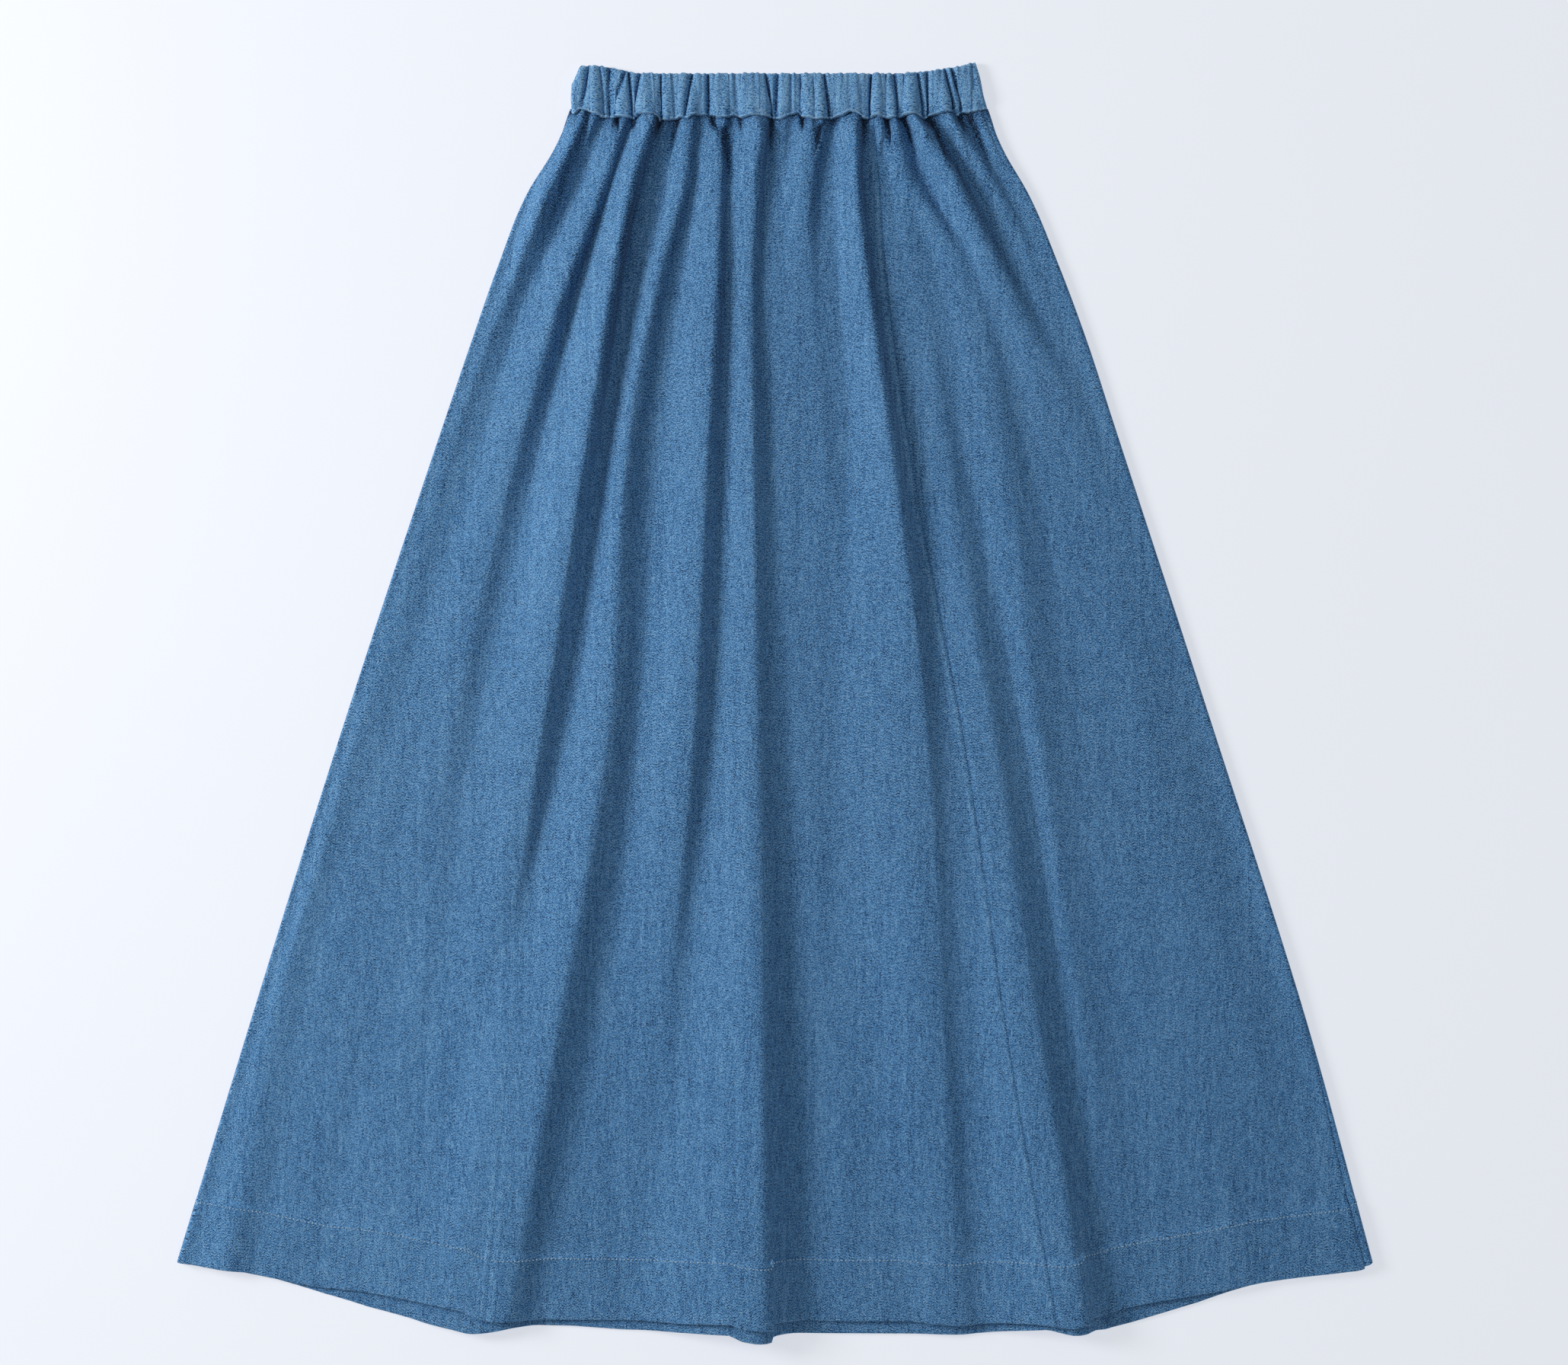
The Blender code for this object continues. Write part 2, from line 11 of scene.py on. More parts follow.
import bpy
import numpy as np
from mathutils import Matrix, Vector


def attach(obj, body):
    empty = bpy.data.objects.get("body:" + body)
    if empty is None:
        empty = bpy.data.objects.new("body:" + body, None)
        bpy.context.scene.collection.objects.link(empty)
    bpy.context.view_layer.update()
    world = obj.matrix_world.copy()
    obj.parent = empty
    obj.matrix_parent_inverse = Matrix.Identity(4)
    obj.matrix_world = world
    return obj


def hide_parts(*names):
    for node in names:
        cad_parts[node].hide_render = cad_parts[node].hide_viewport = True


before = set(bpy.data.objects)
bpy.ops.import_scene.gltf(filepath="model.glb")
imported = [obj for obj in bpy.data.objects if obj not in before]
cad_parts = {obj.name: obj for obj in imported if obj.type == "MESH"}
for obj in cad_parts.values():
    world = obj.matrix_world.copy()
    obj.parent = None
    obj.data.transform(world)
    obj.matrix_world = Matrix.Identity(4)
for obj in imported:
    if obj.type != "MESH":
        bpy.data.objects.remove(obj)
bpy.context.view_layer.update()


# Floor, lamps and camera
# The skirt lies on a pale blue-white studio floor. The camera hangs straight above it, and one
# soft lamp stands low on its left, so that every fold is dark on its right flank.

MM = 0.001                      # a millimetre in the scene's metres
CAMERA_PLACE = (0.0066, 0.0103, 1.887)
CAMERA_LENS = 60.0
FLOOR_HALF = 9.0                # half the length of its side
FLOOR_Z = -0.0008
FLOOR_COLOUR = (0.421, 0.432, 0.460)
FLOOR_CLOUDING = 0.015          # how much lighter or darker than that it gets
FLOOR_CLOUDS = 1.3              # clouds per metre, roughly
FLOOR_GLOW = 1.31               # light that the floor throws back from the rest of the studio
FLOOR_FINISH = {"Roughness": 0.9, "Specular IOR Level": 0.1, "Emission Strength": FLOOR_GLOW}
LAMP_AZIMUTH = math.radians(15)    # from the left, turned towards the waist
LAMP_ELEVATION = math.radians(30)
LAMP_DISTANCE = 2.5
LAMP_SIZE = 0.8
LAMP_POWER = 42.5
SKY_COLOUR = (0.90, 0.95, 1.0, 1.0)
SKY_STRENGTH = 0.34


def new_material(name, finish):
    """A material with a Principled BSDF that has the finish's values on its own sockets; returns
    it, its node tree and its shader."""
    material = bpy.data.materials.new(name)
    material.use_nodes = True
    shader = material.node_tree.nodes["Principled BSDF"]
    for socket, value in finish.items():
        shader.inputs[socket].default_value = value
    return material, material.node_tree, shader


def add_node(tree, kind, sockets=None, **settings):
    """Adds a node; sockets maps an input's name or number to a value or to another output."""
    node = tree.nodes.new(kind)
    for name, value in settings.items():
        setattr(node, name, value)
    for socket, value in (sockets or {}).items():
        if isinstance(value, bpy.types.NodeSocket):
            tree.links.new(value, node.inputs[socket])
        else:
            node.inputs[socket].default_value = value
    return node


def place_object(name, data):
    """Object of a mesh, a lamp or a camera, linked into the scene."""
    placed = bpy.data.objects.new(name, data)
    bpy.context.scene.collection.objects.link(placed)
    return placed


def floor_material():
    """Painted studio floor: matt, with a very faint cloudiness."""
    material, tree, shader = new_material("studio_floor", FLOOR_FINISH)
    where = add_node(tree, "ShaderNodeTexCoord").outputs["Object"]
    cloud = add_node(tree, "ShaderNodeTexNoise", {"Vector": where, "Scale": FLOOR_CLOUDS,
                                                  "Detail": 2.0})
    tone = add_node(tree, "ShaderNodeMapRange", {"Value": cloud.outputs["Fac"],
                                                 "To Min": 1 - FLOOR_CLOUDING,
                                                 "To Max": 1 + FLOOR_CLOUDING})
    shade = add_node(tree, "ShaderNodeVectorMath", {0: tone.outputs[0], 1: FLOOR_COLOUR},
                     operation="MULTIPLY")
    tree.links.new(shade.outputs[0], shader.inputs["Base Color"])
    tree.links.new(shade.outputs[0], shader.inputs["Emission Color"])
    return material


def make_floor():
    """One large square, just under the skirt."""
    corners = np.array([[-1, -1, 0], [1, -1, 0], [1, 1, 0], [-1, 1, 0]]) * FLOOR_HALF
    corners[:, 2] = FLOOR_Z
    mesh = bpy.data.meshes.new("studio_floor")
    mesh.from_pydata(corners.tolist(), [], [(0, 1, 2, 3)])
    mesh.materials.append(floor_material())
    floor = place_object("studio_floor", mesh)


def make_camera():
    """Camera that looks straight down, with the waist at the top of its picture."""
    data = bpy.data.cameras.new("camera")
    data.lens = CAMERA_LENS
    camera = place_object("camera", data)
    camera.location = CAMERA_PLACE
    bpy.context.scene.camera = camera


def make_lamp():
    """Square area lamp that looks at the middle of the skirt."""
    data = bpy.data.lights.new("window_lamp", "AREA")
    data.size = LAMP_SIZE
    data.energy = LAMP_POWER
    level = math.cos(LAMP_ELEVATION)
    way = Vector((-math.cos(LAMP_AZIMUTH) * level, math.sin(LAMP_AZIMUTH) * level,
                  math.sin(LAMP_ELEVATION)))
    light = place_object("window_lamp", data)
    light.location = way * LAMP_DISTANCE
    light.rotation_euler = (-way).to_track_quat("-Z", "Y").to_euler()


def make_sky():
    """Even, faintly blue light from all round, which fills the shadows."""
    sky = bpy.data.worlds.new("studio")
    sky.use_nodes = True
    background = sky.node_tree.nodes["Background"]
    background.inputs["Color"].default_value = SKY_COLOUR
    background.inputs["Strength"].default_value = SKY_STRENGTH
    bpy.context.scene.world = sky


make_camera()
make_floor()
make_lamp()
make_sky()
bpy.context.scene.view_settings.view_transform = "Standard"


# Front gores
# Three flared panels of light, washed denim with a slubby warp, gathered at the waist and turned
# up at the hem. They lie on the back gores in soft folds that fan out from the casing to the hem.

CLOTH = 1.0                     # wall of the cloth, and of the double cloth at the hem
HEM_CLOTH = 2.0
GAP = 0.1                       # between two pieces at their seam
LAYER_ROOM = 0.7                # between the front layer and the back layer
HEM_DEPTH = 44.0                # from the hem's stitching down to its edge
HEM_STEP = 5.0                  # above the stitching, where the single cloth thickens to double
HEM_LIP = 1.1                   # length over which the folded edge of the hem rounds off
LIP_ROUNDING = 0.9              # share of the wall that this takes away at the very edge
WAIST_Y = 420.0                 # straight line from which the casing seam's waves are measured

# Side edges of the skirt as it lies, by depth below the casing seam
SIDE_DEPTHS = (0, 28, 55, 110, 165, 220, 440, 660, 828)
LEFT_EDGE = (-147.4, -160.6, -177.4, -199.9, -219.2, -237.9, -311.0, -380.0, -431.2)
RIGHT_EDGE = (153.7, 166.1, 181.8, 205.4, 225.8, 243.7, 315.4, 385.3, 431.2)
EDGE_RADIUS = 2.2               # roll of the cloth round the side edges, and of the double cloth
HEM_EDGE_RADIUS = 3.0
EDGE_ROLL_REACH = 15.0          # how far in from the edge the roll's height reaches
FOLD_FADE_START = 3.0           # distances from the edge between which the folds come in
FOLD_FADE_END = 15.0
WAIST_FADE_START = 0.5          # the same near the casing, where the cloth stays full to its edge
WAIST_FADE_END = 10.0
WAIST_FADE_REACH = 90.0
SIDE_SEAM_TURN = 1.2            # how far round the edge the right side seam lies, high up and at
HEM_SEAM_TURN = 8.2             # the hem, and the depths between which it moves
SEAM_TURN_START = 590.0
SEAM_TURN_END = 830.0

# Hem line: level in the middle, with the back's lower than the front's
FRONT_HEM_Y = -450.5
BACK_HEM_DROP = 7.5
BACK_DROP_START = 230.0         # distances from the middle between which the back's drop ends
BACK_DROP_END = 340.0
HEM_CORNER = 210.0              # how far from HEM_CORNER_X the hem turns up towards the sides
HEM_CORNER_X = 5.0
HEM_CORNER_SOFTNESS = 24.0
HEM_SIDE_SLOPE = 0.185
# The hem is not quite even: x, and how far its edge lies above the smooth line
FRONT_WAVE_X = (
    -430, -383, -326, -318, -301, -285, -268, -250, -227, -215, -203, -190, -173, -69, -31, -21,
    -11, -1.6, -0.6, 34, 98, 116, 136, 162, 189, 201, 213, 225, 228, 236, 252, 271, 300, 320, 358,
    420, 431)
FRONT_WAVE_RISE = (
    1.3, 3.3, 2.0, 3.3, 4.4, 5.3, 5.4, 5.2, 5.4, 1.9, 0.7, 1.5, 1.8, 1.1, 2.5, -0.4,
    -1.3, -1.8, 2.7, 0.9, 0.7, -1.0, -2.1, 0.0, 0.4, -1.0, -2.5, -1.5, 2.5, 1.2, 2.4, 3.0, 2.6, 2.4,
    3.0, -0.8, 0.6)
BACK_WAVE_X = (
    -430, -394, -361, -328, -295, -262, -251, -233, -220, -209, -191, -173, -147, -109, -69, -32,
    -23, -14, -3.4, -2.2, 34, 107, 137, 162, 197, 208, 215, 226, 228, 238, 271, 306, 348, 381, 414,
    430)
BACK_WAVE_RISE = (
    0.7, 2.0, 1.3, -2.4, -3.6, -2.7, -3.2, -3.3, -4.3, -2.2, 2.5, 4.1, 3.9, 1.3, 0.6, 0.8,
    -3.3, -4.7, -5.2, -0.7, -1.3, -1.7, -2.2, 0.0, 2.8, -0.2, -2.0, -2.3, -1.2, -3.3, -2.4, -1.8, 2.1,
    1.1, -0.5, 2.6)

# Seams between gores, by depth below the casing seam
DEPTHS = (0, 45, 110, 220, 440, 660, 870)
FRONT_LEFT_SEAM = (-78.0, -92.0, -106.3, -120.6, -156.8, -193.5, -212.5)
FRONT_RIGHT_SEAM = (70.7, 75.1, 79.5, 93.8, 130.1, 158.9, 191.7)
SEAM_DIP = 0.6                  # how far the cloth is pulled in at a seam, and how near to it
SEAM_DIP_REACH = 1.0
SEAM_DARK = 0.22                # dye left in it
FAINT_SEAM = 0.12               # the left seam is pulled in a little, and more close to the hem
FAINT_SEAM_HEM = 0.3
FAINT_SEAM_START = 690.0
FAINT_SEAM_END = 800.0
SEAM_RIDGE = 0.35               # raised edge over the allowances beside a seam
SEAM_RIDGE_PLACE = 3.0
SEAM_RIDGE_WIDTH = 1.3
RIDGE_WEAR = 0.3                # dye rubbed off it

# Folds, left to right. fall: x of the steepest line of the fold's right flank at each of DEPTHS.
# lift: height of its crest there. rise and drop: widths of its left and right flanks at each of
# WIDTH_DEPTHS. lean: how far the crest hangs over to the right, as a share of its height.
WIDTH_DEPTHS = (0, 220, 440, 870)
Fold = namedtuple("Fold", "name fall lift rise drop lean")
FOLDS = (
    Fold("left_puff", (-134, -151, -172, -200, -220, -240, -260),
         (13, 14, 3, 0, 0, 0, 0), (10, 14, 16, 16), (30, 20, 20, 20), 0.35),
    Fold("left_roll", (-139, -159, -180, -223, -293, -350, -392),
         (0, 1.5, 4, 3, 3.5, 4, 4), (14, 22, 24, 28), (9, 20, 24, 20), 0.2),
    Fold("left_outer", (-104.8, -117, -141, -173, -226, -252, -285),
         (7, 9.5, 11.5, 7, 2, 0, 0), (18, 32, 40, 40), (8, 12, 14, 18), 0.6),
    Fold("left_deep", (-83, -97, -110.5, -127.5, -161, -195, -234),
         (9, 13, 16, 16.5, 9.5, 3.6, 0), (16, 34, 48, 60), (8, 10, 13, 16), 0.85),
    Fold("left_long", (-59, -61, -77, -96, -109, -145.5, -182),
         (5, 6, 8, 9, 11.5, 15, 11), (14, 17, 33, 110), (8, 15, 21, 25), 0.48),
    Fold("centre_left", (-36, -36.6, -38.2, -43.2, -52, -71, -94),
         (3.5, 6.5, 10, 11.5, 13, 3.5, 0), (15, 34, 44, 60), (8, 10, 13, 20), 0.8),
    Fold("centre_long", (-4, -9.5, -13, -11.5, -4.5, 0.5, 3.5),
         (8, 8, 6, 9, 12, 18, 22), (22, 24, 44, 105), (7, 10, 19, 25), 0.8),
    Fold("centre_short", (38.8, 30, 28.5, 38, 62, 80, 95),
         (7, 6, 2, 1, 0, 0, 0), (26, 34, 40, 40), (9, 12, 18, 20), 0.3),
    Fold("right_seam", (62, 61.9, 68.5, 84.6, 115, 130, 142),
         (8, 9, 10, 14, 11.5, 9.5, 4.5), (15, 28, 70, 44), (7, 10, 15, 27), 0.8),
    Fold("right_long", (80, 94, 108, 125, 164.6, 199, 231.5),
         (4, 2.5, 1, 2.5, 9, 14, 17.5), (8, 18, 52, 80), (9, 13, 21, 23), 0.7),
    Fold("right_middle", (89, 102, 142, 169, 198.7, 232, 262),
         (6, 4, 3, 4, 4.5, 2.5, 0), (11, 28, 15, 20), (9, 18, 18, 20), 0.3),
    Fold("right_outer", (106, 132, 166, 221, 292, 342, 375.4),
         (9, 12, 7.5, 2.5, 2, 1.5, 0), (12, 34, 56, 60), (12, 20, 26, 24), 0.4),
    Fold("right_roll", (131, 157, 190, 229, 300, 360, 405),
         (7, 4, 0, 0, 0, 0, 0), (12, 10, 10, 10), (10, 10, 10, 10), 0.3),
)
LEAST_RISE = 4.0                # least width of a fold's left flank
LEAST_LIFT = 0.01               # stands in for no lift at all where the lift divides
FOOT_SPREAD = 0.35              # how much wider a fold's right flank gets where it is hollow
FOOT_HOLLOW = 0.25
HOLLOW_START = 60.0             # depths between which the right flanks turn hollow
HOLLOW_END = 300.0
WAIST_HOLD = 0.5                # share of a fold's height that the casing seam lets through
WAIST_HOLD_REACH = 15.0
GATHER_STEEP = 0.6              # width of a gather's flank that falls to the right, as a share
GATHER_GENTLE = 1.3
GATHER_TAPER = 0.45             # how much narrower a gather is at its lower end
GATHER_FULL = 0.2               # shares of its length at which a gather is full, and then fades
GATHER_FADES = 0.4
FLAT_LIFT = 1.0                 # lift of the front that leaves the back flat on the floor
NEST_ROOM = 2.6                 # room that stays between the back and a tall fold over it

# Painted shade in the creases: at the bottom of the gathers' dips, the casing's shadow in the hollows
# just under its seam, and the shade along the steep flanks of tall folds near the waist
CREASE_PAINTED_SHADE = 1.3
CREASE_SPREAD = 1.35            # width of a dip's painted shade, as a share of its gather's own
DEEP_GATHER = 5.0               # a dip as deep as this gets all of its painted shade
POCKET_PAINTED_SHADE = 0.5               # hollows under the seam: painted shade, how far down, and how low
POCKET_REACH = 8.0
POCKET_LIFT = 7.0
FOLD_PAINTED_SHADE = 0.6               # a fold as tall as DEEP_FOLD gets this share of painted shade
DEEP_FOLD = 14.0
CREASE_REACH = 3.8              # how far from the flank's steepest line, and how far down
CREASE_FADE_START = 60.0
CREASE_FADE_END = 330.0

# Small gathers that the casing seam pulls into the cloth: depth and x where each begins and
# ends (a negative depth lies in the casing), half width, and rise, or dip where negative
Gather = namedtuple("Gather", "start x0 end x1 width lift")
GATHERS = (
    Gather(-9, -141.0, 34, -158.0, 2.8, 3.0), Gather(-9, -126.0, 28, -139.0, 2.6, 3.4),
    Gather(-9, -113.0, 20, -118.5, 2.2, -5.0), Gather(-9, -101.0, 16, -104.5, 2.2, -4.6),
    Gather(-9, -95.0, 26, -101.0, 2.6, 2.4), Gather(-9, -90.0, 40, -97.0, 3.4, 2.6),
    Gather(-9, -82.5, 20, -88.5, 2.2, -4.4), Gather(-9, -77.0, 30, -82.0, 3.2, 3.2),
    Gather(-9, -70.0, 40, -78.0, 2.0, -6.0), Gather(-9, -58.0, 30, -63.0, 3.8, 2.6),
    Gather(-9, -47.5, 18, -43.5, 2.0, -5.0), Gather(2, -39.5, 62, -29.5, 4.4, -3.2),
    Gather(-9, -36.0, 22, -38.0, 2.8, 3.0), Gather(-9, -26.0, 16, -24.5, 2.0, -3.2),
    Gather(-9, -16.0, 34, -18.0, 6.0, 3.4), Gather(18, -20.0, 64, -24.0, 8.5, 2.4),
    Gather(-9, -3.2, 40, -4.0, 2.0, -4.6), Gather(-9, 8.0, 52, 3.0, 6.5, 3.2),
    Gather(-9, 18.4, 17, 19.4, 2.2, -5.4), Gather(-9, 26.0, 30, 22.0, 3.6, 2.6),
    Gather(0, 33.0, 36, 25.0, 2.0, -4.0), Gather(-9, 33.0, 18, 32.0, 2.4, 2.2),
    Gather(-9, 42.5, 16, 41.5, 2.0, -3.4), Gather(-9, 50.0, 92, 53.0, 5.0, 2.2),
    Gather(-9, 62.5, 26, 63.5, 2.4, -5.0), Gather(-9, 73.5, 44, 76.0, 3.0, 3.2),
    Gather(-9, 79.2, 30, 80.8, 2.0, -6.0), Gather(-9, 84.5, 22, 88.0, 2.4, 3.2),
    Gather(-9, 89.0, 34, 102.0, 2.0, -6.0), Gather(-9, 94.5, 46, 114.0, 3.6, 3.2),
    Gather(-9, 107.0, 44, 126.0, 2.6, -5.0), Gather(-9, 119.0, 54, 147.0, 4.6, 3.0),
    Gather(-9, 128.5, 22, 138.0, 2.0, -3.0), Gather(-9, 134.5, 42, 157.0, 2.4, -4.6),
    Gather(-9, 143.0, 44, 167.0, 3.2, 2.4),
)

# The casing seam waves up and down over the gathers: x, and rise above WAIST_Y
SEAM_WAVE_X = (
    -147, -143, -140, -132, -127, -116, -113, -105, -101, -97, -88, -84, -71, -67, -62, -59, -50,
    -44, -39, -34, -29, -22, -17, -6, 5, 10, 17, 21, 28, 40, 50, 54, 58, 62, 68, 73, 81, 89, 95,
    101, 107, 111, 119, 127, 130, 135, 140, 153)
SEAM_WAVE_RISE = (
    0.6, -1.4, 2.2, 0.0, -3.0, -3.7, -2.6, -3.7, -4.4, -0.9, -1.8, -6.0, -4.4, -2.9, -4.4, -1.5,
    -1.5, -1.7, -3.8, -3.1, -1.6, -3.8, -2.4, -3.1, -4.8, -1.5, -0.1, -2.8, -5.3, -4.2, -1.8, 0.8,
    -0.1, -3.5, -4.4, -2.6, -4.3, -3.6, -1.7, -1.8, -4.7, -2.2, -0.7, 0.4, -2.2, 0.6, 0.0, 2.8)
SEAM_WAVE_REACH = 16.0          # how far down the cloth follows the seam's waves
BACK_SEAM_RISE = 4.0            # the back's seam is level, and lies this far above WAIST_Y

# Faint unevenness of the cloth between the folds. Each wave fans out from the casing to the hem:
# how many fit across the skirt, how many it drifts sideways by on the way, its phase, its height
Ripple = namedtuple("Ripple", "across drift phase height")
RIPPLES = (
    Ripple(7.3, 0.9, 0.4, 0.45), Ripple(12.7, -1.3, 2.1, 0.34), Ripple(21.4, 1.7, 4.4, 0.20),
    Ripple(33.1, -2.6, 1.3, 0.12),
)
RIPPLE_GROWTH = 0.5             # share of a wave's height that is there already at the waist

# Fineness of the panels' meshes
FRONT_COLUMNS = 170
SIDE_COLUMNS = 120
SAMPLES = 1000                  # places across a gore at which its section is measured
BEND_ROOM = 6.0                 # millimetres of extra mesh given to each radian of bend
HEM_ROOM = 3.0                  # and to each millimetre that the hem steps up or down
BODY_ROWS = 238
TOP_CROWDING = 1.45             # above 1, rows crowd towards the casing
STEP_ROWS = 5
HEM_ROWS = 24
LIP_ROWS = 5
SHARP_ANGLE = math.radians(60)  # edges that bend more than this are drawn sharp

# How much paler than the mean of the dye each one's cloth is, or deeper where it is negative
FRONT_TONES = {"front_left": 0.01, "front_centre": -0.01, "front_right": -0.01}

# Colours of the dye at their tones, from the near-black painted shade of a deep crease to a rubbed
# edge
DENIM_STOPS = (
    (0.0, (0.004, 0.014, 0.038, 1.0)),
    (0.18, (0.038, 0.120, 0.280, 1.0)),
    (0.5, (0.074, 0.240, 0.498, 1.0)),
    (0.92, (0.200, 0.420, 0.672, 1.0)),
    (1.0, (0.270, 0.480, 0.700, 1.0)),
)
DENIM_FINISH = {"Roughness": 0.88, "Specular IOR Level": 0.25, "Sheen Weight": 0.06,
                "Sheen Roughness": 0.5}

# Layers of the weave: cells per metre across and down the cloth, detail, and weight in the tone.
# Slubs are thick places of single yarns, and bars are bands of yarns a little off in colour.
Layer = namedtuple("Layer", "across down detail weight")
SLUB = Layer(1700.0, 210.0, 0.0, 0.55)
FLECK = Layer(2400.0, 1000.0, 0.0, 1.95)
WARP = Layer(1500.0, 50.0, 1.0, 0.65)
BARS = Layer(330.0, 4.0, 2.0, 0.28)
WASH = Layer(16.0, 9.0, 3.0, 0.14)
NOISE_ROUGHNESS = 0.55
YARN_STARTS = 97.0              # cells by which a yarn's run may be shifted against its neighbour's
TWILL_STRETCH = (1700.0, 700.0, 1.0)    # fine ribs that run across the weave on the slant
TWILL_SCALE = 0.16
TWILL_WANDER = 0.4
SLUB_RELIEF = 0.9               # weights in the height of the weave
FLECK_RELIEF = 0.6
TWILL_RELIEF = 0.25
RELIEF_STRENGTH = 0.5
RELIEF_HEIGHT = 0.0004


def along(stations, values, where):
    """Smooth curve through a short table: each stretch is the cubic that leaves and reaches its
    ends with the slopes that the neighbouring values give."""
    stations = np.asarray(stations, float)
    values = np.asarray(values, float)
    slopes = np.gradient(values, stations)
    where = np.clip(where, stations[0], stations[-1])
    start = np.clip(np.searchsorted(stations, where, side="right") - 1, 0, len(stations) - 2)
    span = stations[start + 1] - stations[start]
    t = (where - stations[start]) / span
    from_start = (1 + 2 * t) * (1 - t) ** 2 * values[start] + t * (1 - t) ** 2 * span * slopes[start]
    from_end = t * t * (3 - 2 * t) * values[start + 1] + t * t * (t - 1) * span * slopes[start + 1]
    return from_start + from_end


def ease(low, high, where):
    """Rises from 0 at low to 1 at high with level ends."""
    t = np.clip((where - low) / (high - low), 0.0, 1.0)
    return t * t * (3 - 2 * t)


def blend(low, high, share):
    """Goes evenly from low to high as share goes from 0 to 1."""
    return low + (high - low) * share


def bell(off, width):
    """Bell curve: 1 at its middle, and e to the power of minus the square of off over width."""
    return np.exp(-(off / width) ** 2)


def rounded(inwards, radius):
    """Height, as a share, of an edge rounded off to a quarter ellipse, at a distance inwards."""
    share = np.clip(inwards / radius, 0, 1)
    return np.sqrt(np.clip(1 - (1 - share) ** 2, 0, 1))


def unit(vectors):
    """The same directions with a length of 1."""
    return vectors / np.linalg.norm(vectors, axis=-1, keepdims=True)


def running(steps):
    """Running sum of steps down their first axis, with 0 before the first."""
    return np.concatenate((np.zeros((1,) + steps.shape[1:]), np.cumsum(steps, axis=0)))


def hem_y(x, back):
    """Hem line: level in the middle, then rising to each side with a rounded corner between.
    The back's hem drops lower in the middle and meets the front's towards the sides."""
    out = np.abs(x - HEM_CORNER_X) - HEM_CORNER
    rise = HEM_SIDE_SLOPE * 0.5 * (out + np.sqrt(out * out + HEM_CORNER_SOFTNESS ** 2))
    if back:
        drop = BACK_HEM_DROP * (1 - ease(BACK_DROP_START, BACK_DROP_END, np.abs(x)))
        return FRONT_HEM_Y + rise - drop + np.interp(x, BACK_WAVE_X, BACK_WAVE_RISE)
    return FRONT_HEM_Y + rise + np.interp(x, FRONT_WAVE_X, FRONT_WAVE_RISE)


def side_distance(x, depth):
    """Distance from the nearer side edge of the skirt."""
    left = x - along(SIDE_DEPTHS, LEFT_EDGE, depth)
    right = along(SIDE_DEPTHS, RIGHT_EDGE, depth) - x
    return np.minimum(left, right)


def gather_bell(gather, x, depth, spread=1.0):
    """Shape of one gather, from 0 to 1: a bell across its line, steep on the flank that falls to
    the right, narrower down the skirt and faded at both of its ends. spread widens it."""
    way = (depth - gather.start) / (gather.end - gather.start)
    off = x - blend(gather.x0, gather.x1, way)
    skew = np.where(off * gather.lift > 0, GATHER_STEEP, GATHER_GENTLE)
    width = gather.width * spread * skew * (1 - GATHER_TAPER * np.clip(way, 0, 1))
    return bell(off, width) * ease(0, GATHER_FULL, way) * (1 - ease(GATHER_FADES, 1, way))


def fold_lie(x, depth):
    """Height of the cloth over its folds and gathers, and how far it leans to the right. A fold
    is a lopsided raised cosine, shifted right by its lean times its height, so that its right
    flank is steep or hangs over. Lower down the flank is hollow: steep at the crest, with a foot
    that runs out."""
    lift = np.zeros(np.broadcast(x, depth).shape)
    lean = np.zeros_like(lift)
    hold = blend(WAIST_HOLD, 1, ease(0, WAIST_HOLD_REACH, depth))
    hollow = ease(HOLLOW_START, HOLLOW_END, depth)
    for fold in FOLDS:
        height = np.maximum(along(DEPTHS, fold.lift, depth), 0.0) * hold
        # The lean moves the crest to the right by tip, so that the flanks get their own widths
        tip = fold.lean * height
        rise = np.maximum(along(WIDTH_DEPTHS, fold.rise, depth) - tip, LEAST_RISE)
        drop = along(WIDTH_DEPTHS, fold.drop, depth) + tip
        crest = along(DEPTHS, fold.fall, depth) - (drop + tip) / 2
        left_share = np.clip((crest - x) / rise, 0, 1)
        right_share = np.clip((x - crest) / (drop * (1 + FOOT_SPREAD * hollow)), 0, 1)
        right_share = right_share ** (1 - FOOT_HOLLOW * hollow)
        share = np.where(x < crest, left_share, right_share)
        ridge = height * 0.5 * (1 + np.cos(np.pi * share))
        lift = lift + ridge
        lean = lean + fold.lean * ridge
    for gather in GATHERS:
        lift = lift + gather.lift * gather_bell(gather, x, depth)
    waist = 1 - ease(0, WAIST_FADE_REACH, depth)
    start = blend(FOLD_FADE_START, WAIST_FADE_START, waist)
    end = blend(FOLD_FADE_END, WAIST_FADE_END, waist)
    inside = ease(start, end, side_distance(x, depth))
    return np.maximum(lift, 0.0) * inside, lean * inside


def painted_crease_shade(x, depth):
    """How much painted shade the cloth gets, from 0 to about 1: in the hollows just under the casing
    seam, at the bottom of the dips that the gathers make, and along the steep flanks of tall folds
    near the waist."""
    # Painted shade: these places are darkened in colour where shadow falls, not dyed darker.
    hollow = 1 - np.clip(fold_lie(x, depth)[0] / POCKET_LIFT, 0, 1)
    total = POCKET_PAINTED_SHADE * hollow * np.exp(-depth / POCKET_REACH)
    for gather in GATHERS:
        dip = min(gather.lift, 0.0) / -DEEP_GATHER
        total = total + dip * gather_bell(gather, x, depth, CREASE_SPREAD)
    fade = 1 - ease(CREASE_FADE_START, CREASE_FADE_END, depth)
    for fold in FOLDS:
        tall = np.maximum(along(DEPTHS, fold.lift, depth), 0.0) / DEEP_FOLD
        off = x - along(DEPTHS, fold.fall, depth)
        total = total + FOLD_PAINTED_SHADE * tall * fade * bell(off, CREASE_REACH)
    return total


